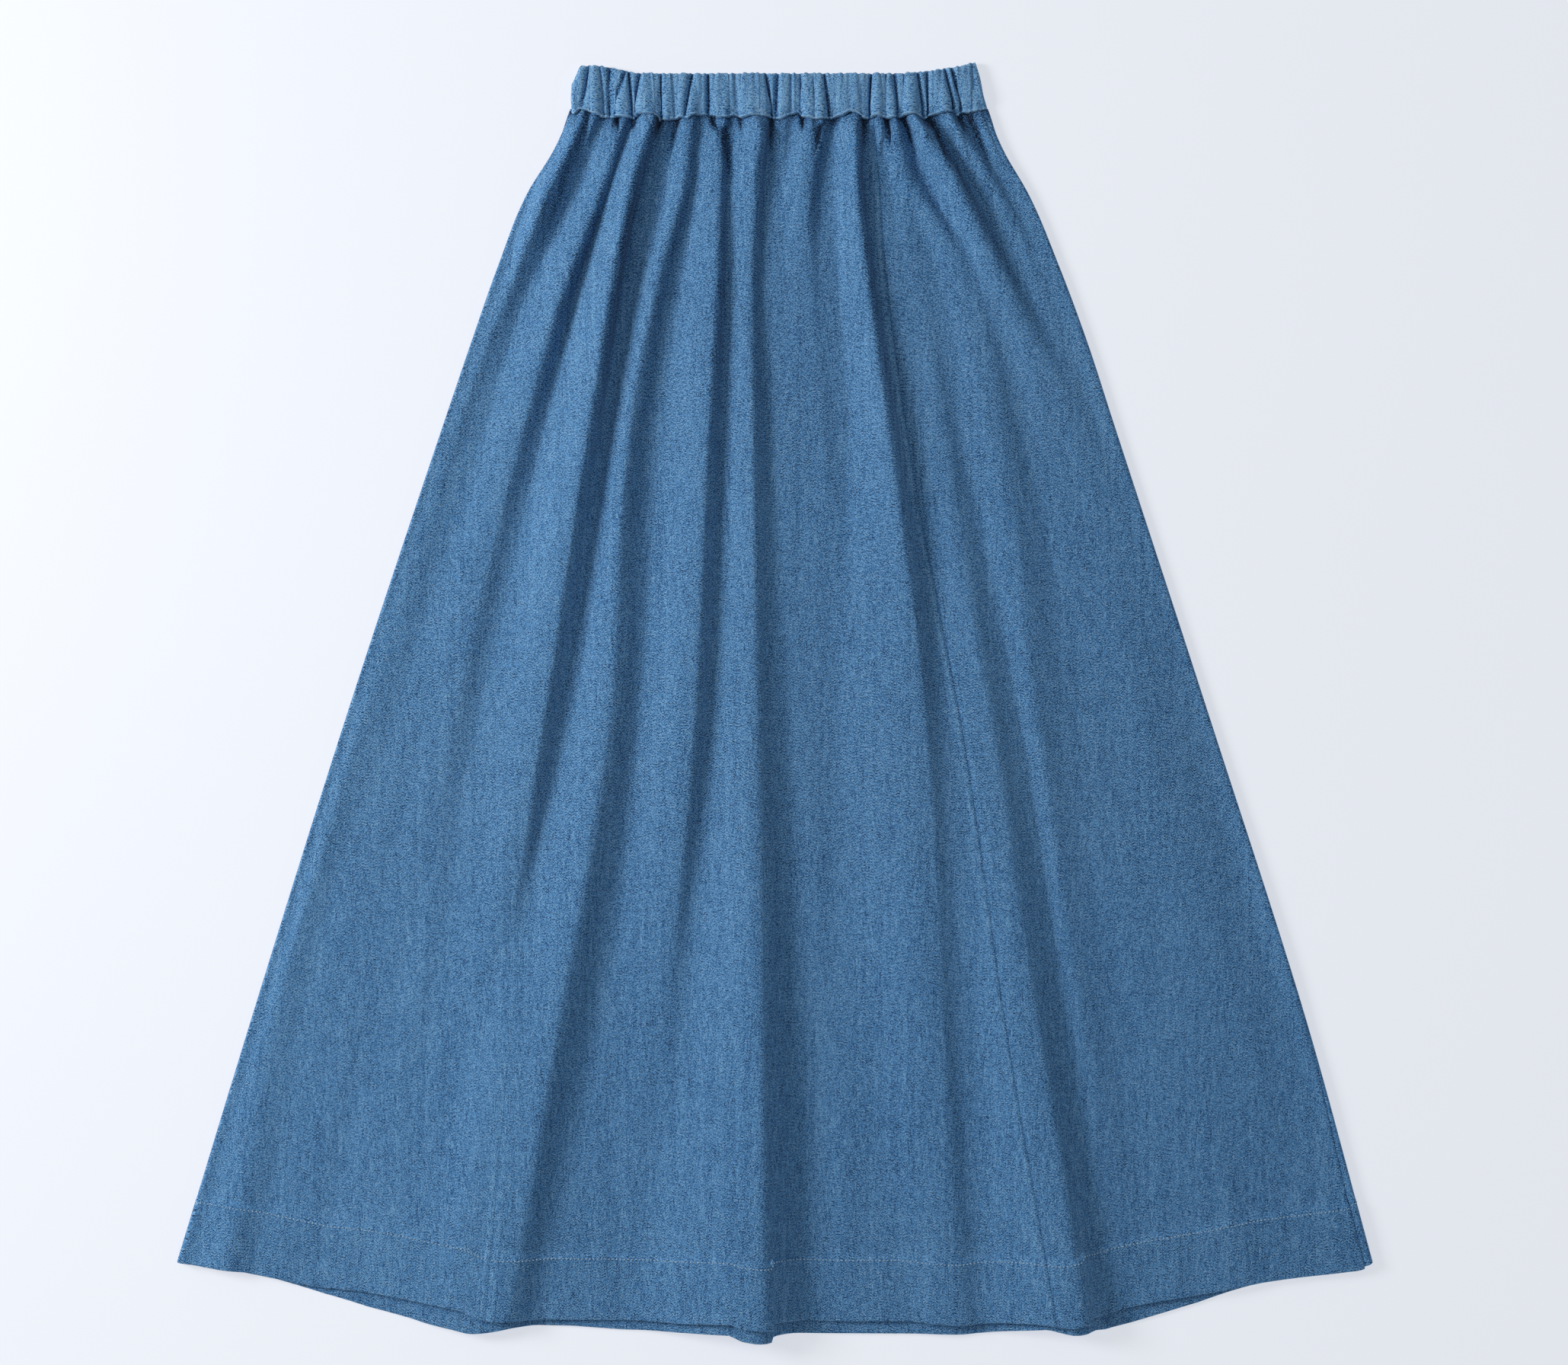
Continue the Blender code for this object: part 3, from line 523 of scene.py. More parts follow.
def ripple(x, depth):
    """Faint unevenness: a sum of sine waves over the share of the skirt's width that lies to the
    left, lifted so that it never sinks the cloth."""
    left = along(SIDE_DEPTHS, LEFT_EDGE, depth)
    right = along(SIDE_DEPTHS, RIGHT_EDGE, depth)
    way = depth / SIDE_DEPTHS[-1]
    total = np.zeros(np.broadcast(x, depth).shape)
    for wave in RIPPLES:
        turns = wave.across * (x - left) / (right - left) + wave.drift * way
        total = total + wave.height * (1 + np.sin(2 * np.pi * turns + wave.phase))
    return total * blend(RIPPLE_GROWTH, 1, way)


def nested(lift):
    """Lift of the back layer under a fold of the front."""
    over = np.maximum(lift - FLAT_LIFT, 0.0)
    return over * over / (over + NEST_ROOM)


def seam_wave(x):
    """Rise of the casing seam above its straight line."""
    return np.interp(x, SEAM_WAVE_X, SEAM_WAVE_RISE)


def edge_table(side):
    """The left or the right edge of the skirt."""
    return LEFT_EDGE if side < 0 else RIGHT_EDGE


def thickness(depth, length):
    """Wall of the cloth and radius of its roll round the side edges. Both grow at the hem, where
    the cloth is double from the stitching down."""
    double = ease(length - HEM_DEPTH - HEM_STEP, length - HEM_DEPTH, depth)
    return blend(CLOTH, HEM_CLOTH, double), blend(EDGE_RADIUS, HEM_EDGE_RADIUS, double)


def lie(turn, depth, length, side, back):
    """Base face of a layer: the inner face of the front, or the face of the back that lies on
    the floor. turn is the distance along the cloth from the side edge, positive on the front and
    negative on the back. Near the edge the section is a quarter circle, flattened or stretched
    to the layer's height, and beyond it the cloth follows the folds."""
    wall, radius = thickness(depth, length)
    start = 0.0 if back else wall
    angle = np.minimum(np.abs(turn) / radius, np.pi / 2)
    run_in = np.maximum(np.abs(turn) - radius * np.pi / 2, 0.0)
    edge = along(SIDE_DEPTHS, edge_table(side), depth)
    x = edge - side * (blend(start, radius, 1 - np.cos(angle)) + run_in)
    lift, lean = fold_lie(x, depth)
    flat_height = 2 * wall + LAYER_ROOM
    roll = (2 * radius - flat_height) * (1 - ease(0, EDGE_ROLL_REACH, side_distance(x, depth)))
    front_level = flat_height - start + lift + roll + ripple(x, depth) * np.sin(angle)
    level = np.where(turn >= 0, front_level, nested(lift))
    lean = np.where(turn >= 0, lean, lean * nested(lift) / np.maximum(lift, LEAST_LIFT))
    z = blend(radius, level, np.sin(angle))
    wave = (BACK_SEAM_RISE if back else seam_wave(x)) * (1 - ease(0, SEAM_WAVE_REACH, depth))
    y = WAIST_Y - GAP / 2 - depth + wave
    return np.stack((x + lean * np.sin(angle), y + 0 * x, z), axis=-1)


def seam_line(table, shift, side):
    """Line of turn of a seam between two gores, moved by shift along X: a function that gives its
    turn at a depth and a gore's length there."""
    def turn(depth, length):
        radius = thickness(depth, length)[1]
        reach = along(SIDE_DEPTHS, edge_table(side), depth) - along(DEPTHS, table, depth) - shift
        return reach * side - radius + radius * np.pi / 2
    return turn


def left_side_line(shift):
    """Line of turn of the left side seam, which lies on the very edge, moved by shift."""
    return lambda depth, length: shift + 0 * depth


def right_side_line(shift):
    """Line of turn of the right side seam, moved by shift: it lies on the edge high up, and comes
    some way round to the front at the hem."""
    def turn(depth, length):
        way = ease(SEAM_TURN_START, SEAM_TURN_END, depth)
        return blend(SIDE_SEAM_TURN, HEM_SEAM_TURN, way) + shift
    return turn


def row_depths(length):
    """Depths of a gore's rows for each of its lengths: crowded towards the casing, even down the
    body, then the step to double cloth, the hem and its rounded lip."""
    body = np.linspace(0, 1, BODY_ROWS, endpoint=False)
    body = (body + body ** TOP_CROWDING) / 2
    length = np.asarray(length, float)[..., None]
    stitching = length - HEM_DEPTH
    step = np.linspace(-HEM_STEP, 0, STEP_ROWS, endpoint=False)
    hem = np.linspace(0, HEM_DEPTH - HEM_LIP, HEM_ROWS, endpoint=False)
    lip = HEM_DEPTH - HEM_LIP * (1 - np.linspace(0, 1, LIP_ROWS)) ** 2
    return np.concatenate((body * (stitching - HEM_STEP), stitching + step, stitching + hem,
                           stitching + lip), axis=-1)


STITCH_ROW = BODY_ROWS + STEP_ROWS


def grid_normals(points):
    """Unit normals of a grid of points from its slopes along both of its directions."""
    across = np.gradient(points, axis=0)
    down = np.gradient(points, axis=1)
    return unit(np.cross(down, across))


# Grids of a gore's lower and upper face and of its normals, the distances along the cloth and the
# depths of their points, and how much dye is rubbed off there, less the painted shade of its creases
Gore = namedtuple("Gore", "base top normal arc depth wear")


def lay_gore(side, first, last, columns, back):
    """Grid of a gore between two lines of turn. Its columns part the section of each row into
    equal shares of its length, with more where the section bends."""
    share = np.linspace(0, 1, SAMPLES)

    def place(shares, lengths, depths):
        start = first(depths, lengths)
        turn = start + (last(depths, lengths) - start) * shares
        return lie(turn, depths, lengths, side, back)

    # x of each sample where it meets the hem, found with a hem so far down that the cloth is single
    far_hem = np.full(SAMPLES, 2.0 * DEPTHS[-1])
    hem_x = place(share, far_hem, np.full(SAMPLES, DEPTHS[-1], float))[..., 0]
    length = WAIST_Y - GAP / 2 - hem_y(hem_x, back)
    depth = row_depths(length)
    section = place(share[:, None], length[:, None], depth)
    stretch = np.diff(section[..., (0, 2)], axis=0)
    step = np.hypot(stretch[..., 0], stretch[..., 1])
    heading = np.unwrap(np.arctan2(stretch[..., 1], stretch[..., 0]), axis=0)
    bend = np.abs(np.diff(heading, axis=0, prepend=heading[:1]))
    hem_step = np.abs(np.diff(length))[:, None]
    weight = running(step + BEND_ROOM * bend + HEM_ROOM * hem_step)
    even = np.linspace(0, 1, columns)
    shares = np.stack([np.interp(even * row[-1], row, share) for row in weight.T], axis=1)
    lengths = np.interp(shares, share, length)
    depths = np.stack([np.interp(shares[:, j], share, depth[:, j])
                       for j in range(depth.shape[1])], axis=1)
    base = place(shares, lengths, depths)
    arc = running(np.linalg.norm(np.diff(base, axis=0), axis=-1))
    return base, grid_normals(base), arc, depths, lengths


def finish_gore(side, first, last, columns, back, seams):
    """Gives a gore's grid its thickness: the wall along the normals, rounded at the hem's lip and
    pulled in at its seams. seams names the first or last column or the top row where a seam
    holds it: a faint one shows near the hem alone, and a ridged one has a raised edge beside it."""
    base, normal, arc, depth, length = lay_gore(side, first, last, columns, back)
    wall = thickness(depth, length)[0]
    rounding = (1 - rounded(length - depth, HEM_LIP)) * LIP_ROUNDING
    base = base + normal * (wall * rounding / 2)[..., None]
    wall = wall * (1 - rounding)
    near = np.zeros_like(arc)
    ridge = np.zeros_like(arc)
    open_share = ease(FAINT_SEAM_START, FAINT_SEAM_END, depth)
    faint = blend(FAINT_SEAM, FAINT_SEAM_HEM, open_share)
    for end, to_seam in (("first", arc), ("last", arc[-1] - arc)):
        close = bell(to_seam, SEAM_DIP_REACH)
        raised = bell(to_seam - SEAM_RIDGE_PLACE, SEAM_RIDGE_WIDTH)
        if end in seams or "ridged " + end in seams:
            near = np.maximum(near, close)
        if "ridged " + end in seams:
            ridge = np.maximum(ridge, raised)
        if "faint " + end in seams:
            near = np.maximum(near, faint * close)
            ridge = np.maximum(ridge, open_share * raised)
    if "top" in seams:
        near = np.maximum(near, bell(depth, SEAM_DIP_REACH))
    if back:
        base = base + normal * (SEAM_DIP * near)[..., None]
    wall = wall - SEAM_DIP * near + SEAM_RIDGE * ridge
    top = base + normal * wall[..., None]
    base[..., 2] = np.maximum(base[..., 2], 0.0)
    # Dye left in the seams and painted shade in the creases darken the cloth; the hem's lip and the
    # seam ridges are rubbed paler.
    seam_dye_and_painted_shade = SEAM_DARK * near + CREASE_PAINTED_SHADE * painted_crease_shade(base[..., 0], depth)
    wear = np.maximum(rounding, RIDGE_WEAR * ridge) - seam_dye_and_painted_shade
    return Gore(base, top, normal, arc, depth, wear)


def wall_faces(across, down, ring=False):
    """Quads of a closed wall between two grids of points, the upper grid first, then the lower."""
    index = np.arange(across * down).reshape(across, down)
    low = index + across * down
    if ring:
        index = np.concatenate((index, index[:1]))
        low = np.concatenate((low, low[:1]))
    upper = np.stack((index[:-1, :-1], index[:-1, 1:], index[1:, 1:], index[1:, :-1]), axis=-1)
    lower = np.stack((low[:-1, :-1], low[1:, :-1], low[1:, 1:], low[:-1, 1:]), axis=-1)
    rims = [
        np.stack((index[:-1, 0], index[1:, 0], low[1:, 0], low[:-1, 0]), axis=-1),
        np.stack((index[1:, -1], index[:-1, -1], low[:-1, -1], low[1:, -1]), axis=-1),
    ]
    if not ring:
        rims.append(np.stack((index[0, 1:], index[0, :-1], low[0, :-1], low[0, 1:]), axis=-1))
        rims.append(np.stack((index[-1, :-1], index[-1, 1:], low[-1, 1:], low[-1, :-1]), axis=-1))
    return np.concatenate([upper.reshape(-1, 4), lower.reshape(-1, 4)] + rims)


def add_piece(name, mesh, material):
    """One piece of the skirt, with its one finish; it moves with the skirt's one body."""
    mesh.materials.append(material)
    piece = place_object(name, mesh)
    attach(piece, "root")
    return piece


def wall_object(name, top, base, flat, wear, material, ring=False):
    """Closed wall of cloth. flat holds each point's place on the cut cloth in metres, for the weave,
    and wear how much of the dye is rubbed off there, above 0, and how much painted shade darkens it,
    below 0."""
    faces = wall_faces(*top.shape[:2], ring)
    points = np.concatenate((top.reshape(-1, 3), base.reshape(-1, 3))) * MM
    mesh = bpy.data.meshes.new(name)
    mesh.vertices.add(len(points))
    mesh.vertices.foreach_set("co", points.ravel())
    mesh.loops.add(faces.size)
    mesh.loops.foreach_set("vertex_index", faces.ravel())
    mesh.polygons.add(len(faces))
    mesh.polygons.foreach_set("loop_start", np.arange(0, faces.size, 4))
    mesh.update(calc_edges=True)
    uv = np.concatenate((flat.reshape(-1, 2), flat.reshape(-1, 2)))
    mesh.uv_layers.new(name="cut").data.foreach_set("uv", uv[faces.ravel()].ravel())
    # Rubbed wear above 0, and painted shade of creases, hollows and slits below 0.
    tone_shift = mesh.attributes.new("wear", "FLOAT", "POINT")
    tone_shift.data.foreach_set("value", np.concatenate((wear.ravel(), wear.ravel())))
    mesh.shade_smooth()
    mesh.set_sharp_from_angle(angle=SHARP_ANGLE)
    return add_piece(name, mesh, material)


def group_inputs(group, sockets):
    """Adds named input sockets with their default values to a node group."""
    for name, kind, value in sockets:
        socket = group.interface.new_socket(name, in_out="INPUT", socket_type=kind)
        if value is not None:
            socket.default_value = value


def maths(tree, operation, *values):
    """Result of a Math node on its values."""
    return add_node(tree, "ShaderNodeMath", dict(enumerate(values)), operation=operation).outputs[0]


def cloth_noise(tree, where, layer):
    """Smooth noise over the cloth with the cells of a layer of the weave."""
    stretched = add_node(tree, "ShaderNodeVectorMath",
                         {0: where, 1: (layer.across, layer.down, 1.0)}, operation="MULTIPLY")
    noise = add_node(tree, "ShaderNodeTexNoise",
                     {"Vector": stretched.outputs[0], "Scale": 1.0, "Detail": layer.detail,
                      "Roughness": NOISE_ROUGHNESS}, noise_dimensions="2D")
    return noise.outputs["Fac"]


def yarn_group():
    """Tone of warp yarns that lie side by side: each has its own uneven run of thick and thin
    places along it. Across and Down are the yarns and the places per metre."""
    group = bpy.data.node_groups.new("warp_yarns", "ShaderNodeTree")
    group_inputs(group, (("Place", "NodeSocketVector", None),
                         ("Across", "NodeSocketFloat", WARP.across),
                         ("Down", "NodeSocketFloat", WARP.down),
                         ("Detail", "NodeSocketFloat", WARP.detail)))
    group.interface.new_socket("Tone", in_out="OUTPUT", socket_type="NodeSocketFloat")
    given = group.nodes.new("NodeGroupInput").outputs
    result = group.nodes.new("NodeGroupOutput")
    parts = add_node(group, "ShaderNodeSeparateXYZ", {0: given["Place"]}).outputs
    yarn = maths(group, "FLOOR", maths(group, "MULTIPLY", parts["X"], given["Across"]))
    start = add_node(group, "ShaderNodeTexWhiteNoise", {"W": yarn}, noise_dimensions="1D")
    run = maths(group, "MULTIPLY", parts["Y"], given["Down"])
    run = maths(group, "MULTIPLY_ADD", start.outputs["Value"], YARN_STARTS, run)
    noise = add_node(group, "ShaderNodeTexNoise",
                     {"W": run, "Scale": 1.0, "Roughness": NOISE_ROUGHNESS,
                      "Detail": given["Detail"]}, noise_dimensions="1D")
    group.links.new(noise.outputs["Fac"], result.inputs["Tone"])
    return group


WARP_YARNS = yarn_group()


def yarns(tree, where, layer):
    """Adds the yarn group with the counts of a layer of the weave."""
    node = add_node(tree, "ShaderNodeGroup", {"Place": where, "Across": layer.across,
                                              "Down": layer.down, "Detail": layer.detail},
                    node_tree=WARP_YARNS)
    return node.outputs["Tone"]


def weighted(tree, parts):
    """Sum of 0.5 and each value's distance from 0.5 times its weight."""
    total = 0.5
    for value, weight in parts:
        offset = maths(tree, "MULTIPLY_ADD", value, weight, -0.5 * weight)
        total = maths(tree, "ADD", offset, total)
    return total


def colour_ramp(tree, value, stops):
    """Colours over a value from 0 to 1; each stop is its place there and its colour."""
    ramp = add_node(tree, "ShaderNodeValToRGB", {"Fac": value})
    elements = ramp.color_ramp.elements
    for element, (place, colour) in zip(elements, (stops[0], stops[-1])):
        element.position = place
        element.color = colour
    for place, colour in stops[1:-1]:
        elements.new(place).color = colour
    return ramp.outputs["Color"]


def woven_denim_group():
    """Slubby warp-faced denim: short pale and dark slubs along the warp, long faint bars, a cloudy
    wash and a fine twill, with the dye rubbed off where Wear is high and painted shade where it is
    below 0."""
    group = bpy.data.node_groups.new("woven_denim", "ShaderNodeTree")
    group_inputs(group, (("Place", "NodeSocketVector", None), ("Wear", "NodeSocketFloat", 0.0),
                         ("Tone", "NodeSocketFloat", 0.0)))
    group.interface.new_socket("Colour", in_out="OUTPUT", socket_type="NodeSocketColor")
    group.interface.new_socket("Height", in_out="OUTPUT", socket_type="NodeSocketFloat")
    given = group.nodes.new("NodeGroupInput").outputs
    result = group.nodes.new("NodeGroupOutput")
    where = given["Place"]
    slub, fleck, warp, bars = (yarns(group, where, layer) for layer in (SLUB, FLECK, WARP, BARS))
    wash = cloth_noise(group, where, WASH)
    tone = weighted(group, ((slub, SLUB.weight), (fleck, FLECK.weight), (warp, WARP.weight),
                            (bars, BARS.weight), (wash, WASH.weight)))
    tone = maths(group, "ADD", tone, given["Tone"])
    tone = maths(group, "ADD", tone, maths(group, "MULTIPLY", given["Wear"], slub))
    twill = add_node(group, "ShaderNodeVectorMath", {0: where, 1: TWILL_STRETCH},
                     operation="MULTIPLY")
    rib = add_node(group, "ShaderNodeTexWave",
                   {"Vector": twill.outputs[0], "Scale": TWILL_SCALE, "Distortion": TWILL_WANDER},
                   bands_direction="DIAGONAL")
    height = weighted(group, ((slub, SLUB_RELIEF), (fleck, FLECK_RELIEF),
                              (rib.outputs["Fac"], TWILL_RELIEF)))
    group.links.new(colour_ramp(group, tone, DENIM_STOPS), result.inputs["Colour"])
    group.links.new(height, result.inputs["Height"])
    return group


WOVEN_DENIM = woven_denim_group()


def denim(name, tone):
    """Denim of one piece: the woven group over its own cut coordinates, a soft nap, and bump.
    tone makes it paler than the dye's mean, or deeper where it is negative."""
    material, tree, shader = new_material(name, DENIM_FINISH)
    where = add_node(tree, "ShaderNodeUVMap", uv_map="cut").outputs["UV"]
    # This attribute carries rubbed wear, and painted shade where it is negative.
    wear = add_node(tree, "ShaderNodeAttribute", attribute_name="wear").outputs["Fac"]
    weave = add_node(tree, "ShaderNodeGroup", {"Place": where, "Wear": wear, "Tone": tone},
                     node_tree=WOVEN_DENIM)
    bump = add_node(tree, "ShaderNodeBump", {"Height": weave.outputs["Height"],
                                             "Strength": RELIEF_STRENGTH,
                                             "Distance": RELIEF_HEIGHT})
    tree.links.new(weave.outputs["Colour"], shader.inputs["Base Color"])
    tree.links.new(bump.outputs["Normal"], shader.inputs["Normal"])
    return material


def gore_piece(node, gore, tone):
    """Mesh, finish and cut of one gore that stands for a node of the frame. The warp runs
    straight down from the waist, as it is measured along the cloth from the middle column."""
    middle = gore.arc.shape[0] // 2
    across = gore.arc - gore.arc[middle] + gore.base[middle, :, 0]
    flat = np.stack((across, gore.depth), axis=-1) * MM
    piece = wall_object(node + "_gore", gore.top, gore.base, flat, gore.wear,
                        denim(node + "_denim", tone))
    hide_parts(node)


front_left = finish_gore(-1, left_side_line(GAP / 2), seam_line(FRONT_LEFT_SEAM, -GAP / 2, -1),
                         SIDE_COLUMNS, False, ("faint last", "top"))
front_centre = finish_gore(-1, seam_line(FRONT_LEFT_SEAM, GAP / 2, -1),
                           seam_line(FRONT_RIGHT_SEAM, -GAP / 2, -1), FRONT_COLUMNS, False,
                           ("faint first", "ridged last", "top"))
front_right = finish_gore(1, seam_line(FRONT_RIGHT_SEAM, GAP / 2, 1), right_side_line(GAP / 2),
                          SIDE_COLUMNS, False, ("first", "last", "top"))
for node, gore, below in (("front_left", front_left, "back_left_gore"),
                          ("front_centre", front_centre, "back_centre_gore"),
                          ("front_right", front_right, "back_right_gore")):
    gore_piece(node, gore, FRONT_TONES[node])


# Back gores
# Three flared panels like the front's. They lie flat on the floor, arch up only under the tall
# folds, and the right one comes round the edge to a side seam that shows near the hem.

BACK_LEFT_SEAM = (-84.0, -98.0, -112.3, -126.6, -163.0, -200.0, -242.0)
BACK_RIGHT_SEAM = (84.0, 100.0, 122.0, 143.0, 188.0, 218.0, 240.6)
BACK_COLUMNS = 105
BACK_TONES = {"back_left": -0.02, "back_centre": 0.0, "back_right": -0.02}


def negative(line):
    """The same line of turn on the back layer."""
    return lambda depth, length: -line(depth, length)


back_left = finish_gore(-1, left_side_line(-GAP / 2),
                        negative(seam_line(BACK_LEFT_SEAM, -GAP / 2, -1)), BACK_COLUMNS, True, ())
back_centre = finish_gore(-1, negative(seam_line(BACK_LEFT_SEAM, GAP / 2, -1)),
                          negative(seam_line(BACK_RIGHT_SEAM, -GAP / 2, -1)), BACK_COLUMNS, True,
                          ())
back_right = finish_gore(1, negative(seam_line(BACK_RIGHT_SEAM, GAP / 2, 1)),
                         right_side_line(-GAP / 2), BACK_COLUMNS, True, ("last",))
for node, gore in (("back_left", back_left), ("back_centre", back_centre),
                   ("back_right", back_right)):
    gore_piece(node, gore, BACK_TONES[node])


# Waist casing
# A folded band of the same denim with a wide elastic inside it, so it is ruched all round: puffs
# of cloth between sharp pinches, a scalloped top edge and a raised, rubbed edge at its seam.

CASING = 2.1                    # wall of the folded band, without its puffs
CASING_GAP = 0.5                # between the band and the gores
CASING_TONE = 0.26              # how much paler than the dye's mean the band is
CASING_TOP_Y = 449.2            # its top edge, and how much higher that lies at some x
CASING_TOP_X = (-150, -126, -98, 95, 117, 133, 146)
CASING_TOP_RISE = (5.5, 5.5, 0, 0, 2.6, 5.2, 8.8)
CASING_STATIONS = (0, 0.5, 1)   # shares of the height at which the ends of the band are given
CASING_LEFT_X = (-148.6, -148.6, -141.0)
CASING_RIGHT_X = (155.6, 150.8, 146.6)
CASING_EDGE_RADIUS = 2.7        # roll of the band round its left and right ends
CASING_FADE_START = 0.5         # distances from the ends between which its relief comes in
CASING_FADE_END = 6.0
END_BEND_REACH = 20.0           # how far in the columns bend as the ends do
SEAM_FOLD_LIFT = 0.75           # share of the gores' folds that the band takes up at its seam
TOP_FOLD_LIFT = 0.10            # and at its top edge
CASING_COLUMNS = 430
CASING_BACK_COLUMNS = 150
CASING_DOWN = 46
PUFF = 2.9                      # height of the cloth between two pinches
SEAM_FULLNESS = 8.0             # height over which the band swells out above its seam
SEAM_WALL = 0.62                # share of its thickness that it has at the seam
TOP_ROUNDING = 2.2              # radii of its top edge and its seam edge, and the share of its
SEAM_ROUNDING = 0.7             # thickness that is left at the very edge
EDGE_WALL = 0.25
PIPING_RISE = 0.8               # raised, folded edge that is stitched down on the gores
PIPING_PLACE = 0.9
PIPING_WIDTH = 0.6
GROOVE_DEPTH = 0.5              # furrow of the stitching above it
GROOVE_PLACE = 2.4
GROOVE_WIDTH = 0.7
PIPING_WEAR = 1.05              # dye rubbed off the piping, how much more or less it gets along
PIPING_WEAR_SWING = 0.6         # the band, and where it is most
PIPING_WEAR_PITCH = 5.3
PIPING_WEAR_WANDER = 2.0
PIPING_WANDER_PITCH = 13.0
PIPING_WEAR_PLACE = 0.8
PIPING_WEAR_WIDTH = 0.42
TOP_WEAR_AND_HIGHLIGHT = 0.55                 # dye rubbed off the top edge with a painted highlight on it, and how far down
TOP_HIGHLIGHT_REACH = 1.6

# Pinches of the ruched cloth: x at the seam and at the top, depth as a share of PUFF, and how
# sharp the slit is
Pinch = namedtuple("Pinch", "seam_x top_x depth slit")
PINCHES = (
    Pinch(-139.5, -133.5, 0.8, 0.6), Pinch(-122.5, -126.0, 0.6, 0.2), Pinch(-118.5, -119.0, 1.0, 1.0),
    Pinch(-116.0, -107.5, 0.5, 0.7), Pinch(-103.0, -105.5, 1.0, 0.9), Pinch(-100.0, -97.0, 0.9, 0.9),
    Pinch(-91.0, -90.0, 0.3, 0.3), Pinch(-80.6, -81.7, 0.8, 0.8), Pinch(-72.0, -74.0, 0.4, 0.2),
    Pinch(-64.8, -59.5, 1.0, 0.9), Pinch(-48.1, -48.1, 0.9, 0.9), Pinch(-38.0, -37.0, 0.35, 0.1),
    Pinch(-27.0, -29.0, 0.4, 0.2), Pinch(-16.0, -15.0, 0.35, 0.1), Pinch(-2.2, -7.0, 1.0, 1.0),
    Pinch(1.4, 1.9, 0.9, 0.9), Pinch(10.0, 11.5, 0.35, 0.2), Pinch(19.5, 18.5, 0.7, 0.3),
    Pinch(29.0, 27.5, 0.35, 0.1), Pinch(38.5, 35.5, 1.0, 0.9), Pinch(54.0, 53.0, 0.45, 0.1),
    Pinch(69.0, 69.5, 1.0, 0.9), Pinch(81.0, 80.0, 0.8, 0.5), Pinch(87.2, 86.0, 1.0, 0.9),
    Pinch(95.0, 95.0, 0.4, 0.1), Pinch(106.4, 102.6, 1.0, 0.9), Pinch(109.7, 109.5, 0.9, 0.9),
    Pinch(128.4, 122.4, 1.0, 0.9), Pinch(134.5, 126.8, 1.0, 0.8), Pinch(148.0, 141.0, 0.5, 0.1),
)
PINCH_BROAD = 2.1               # half width of a pinch's soft sides, and how pointed they are
PINCH_POINT = 1.2
PINCH_SLIT = 0.9                # half width of the slit at its bottom, its depth and its painted shade
SLIT_DEPTH = 1.7
SLIT_PAINTED_SHADE = 1.5
BACK_PINCH_PITCH = 13.0         # soft marks of painted shade on the back, how they wander, and how dark they are
BACK_PINCH_WANDER = 1.5
BACK_WANDER_PITCH = 21.0
BACK_PINCH_PAINTED_SHADE = 0.3

# Fine ruching: lengths, heights and starts of the waves that make it, how they wander, and what
# share of it the top edge's outline, the band's middle, its top and its seam show
SCALLOPS = ((4.7, 0.34, 0.3), (7.9, 0.26, 1.9), (3.1, 0.16, 4.0))
SCALLOP_WANDER = 2.0
SCALLOP_WANDER_PITCH = 17.0
OUTLINE_RUCHE = 0.75
FINE_RUCHE = 0.4
TOP_RUCHE = 0.6
TOP_RUCHE_REACH = 0.30          # shares of the height
SEAM_RUCHE = 0.6
SEAM_RUCHE_REACH = 0.25
SEAM_RUCHE_SHIFT = 9.0


def pinched(x, share):
    """How far the pinches sink the cloth, from 0 to 1: each is a broad soft bell along its
    slanted line. The second value is the narrow slit at its bottom."""
    sunk = np.zeros(np.broadcast(x, share).shape)
    slit = np.zeros_like(sunk)
    for pinch in PINCHES:
        off = x - blend(pinch.seam_x, pinch.top_x, share)
        sunk = np.maximum(sunk, pinch.depth * np.exp(-(np.abs(off) / PINCH_BROAD) ** PINCH_POINT))
        slit = np.maximum(slit, pinch.slit * bell(off, PINCH_SLIT))
    return sunk, slit


def scallop(x):
    """Uneven little waves along the band, up to 0.76 mm high or deep: a sum of three sines."""
    total = np.zeros_like(x)
    for pitch, height, phase in SCALLOPS:
        wander = SCALLOP_WANDER * np.sin(x / SCALLOP_WANDER_PITCH)
        total = total + height * np.sin(2 * np.pi * x / pitch + phase + wander)
    return total


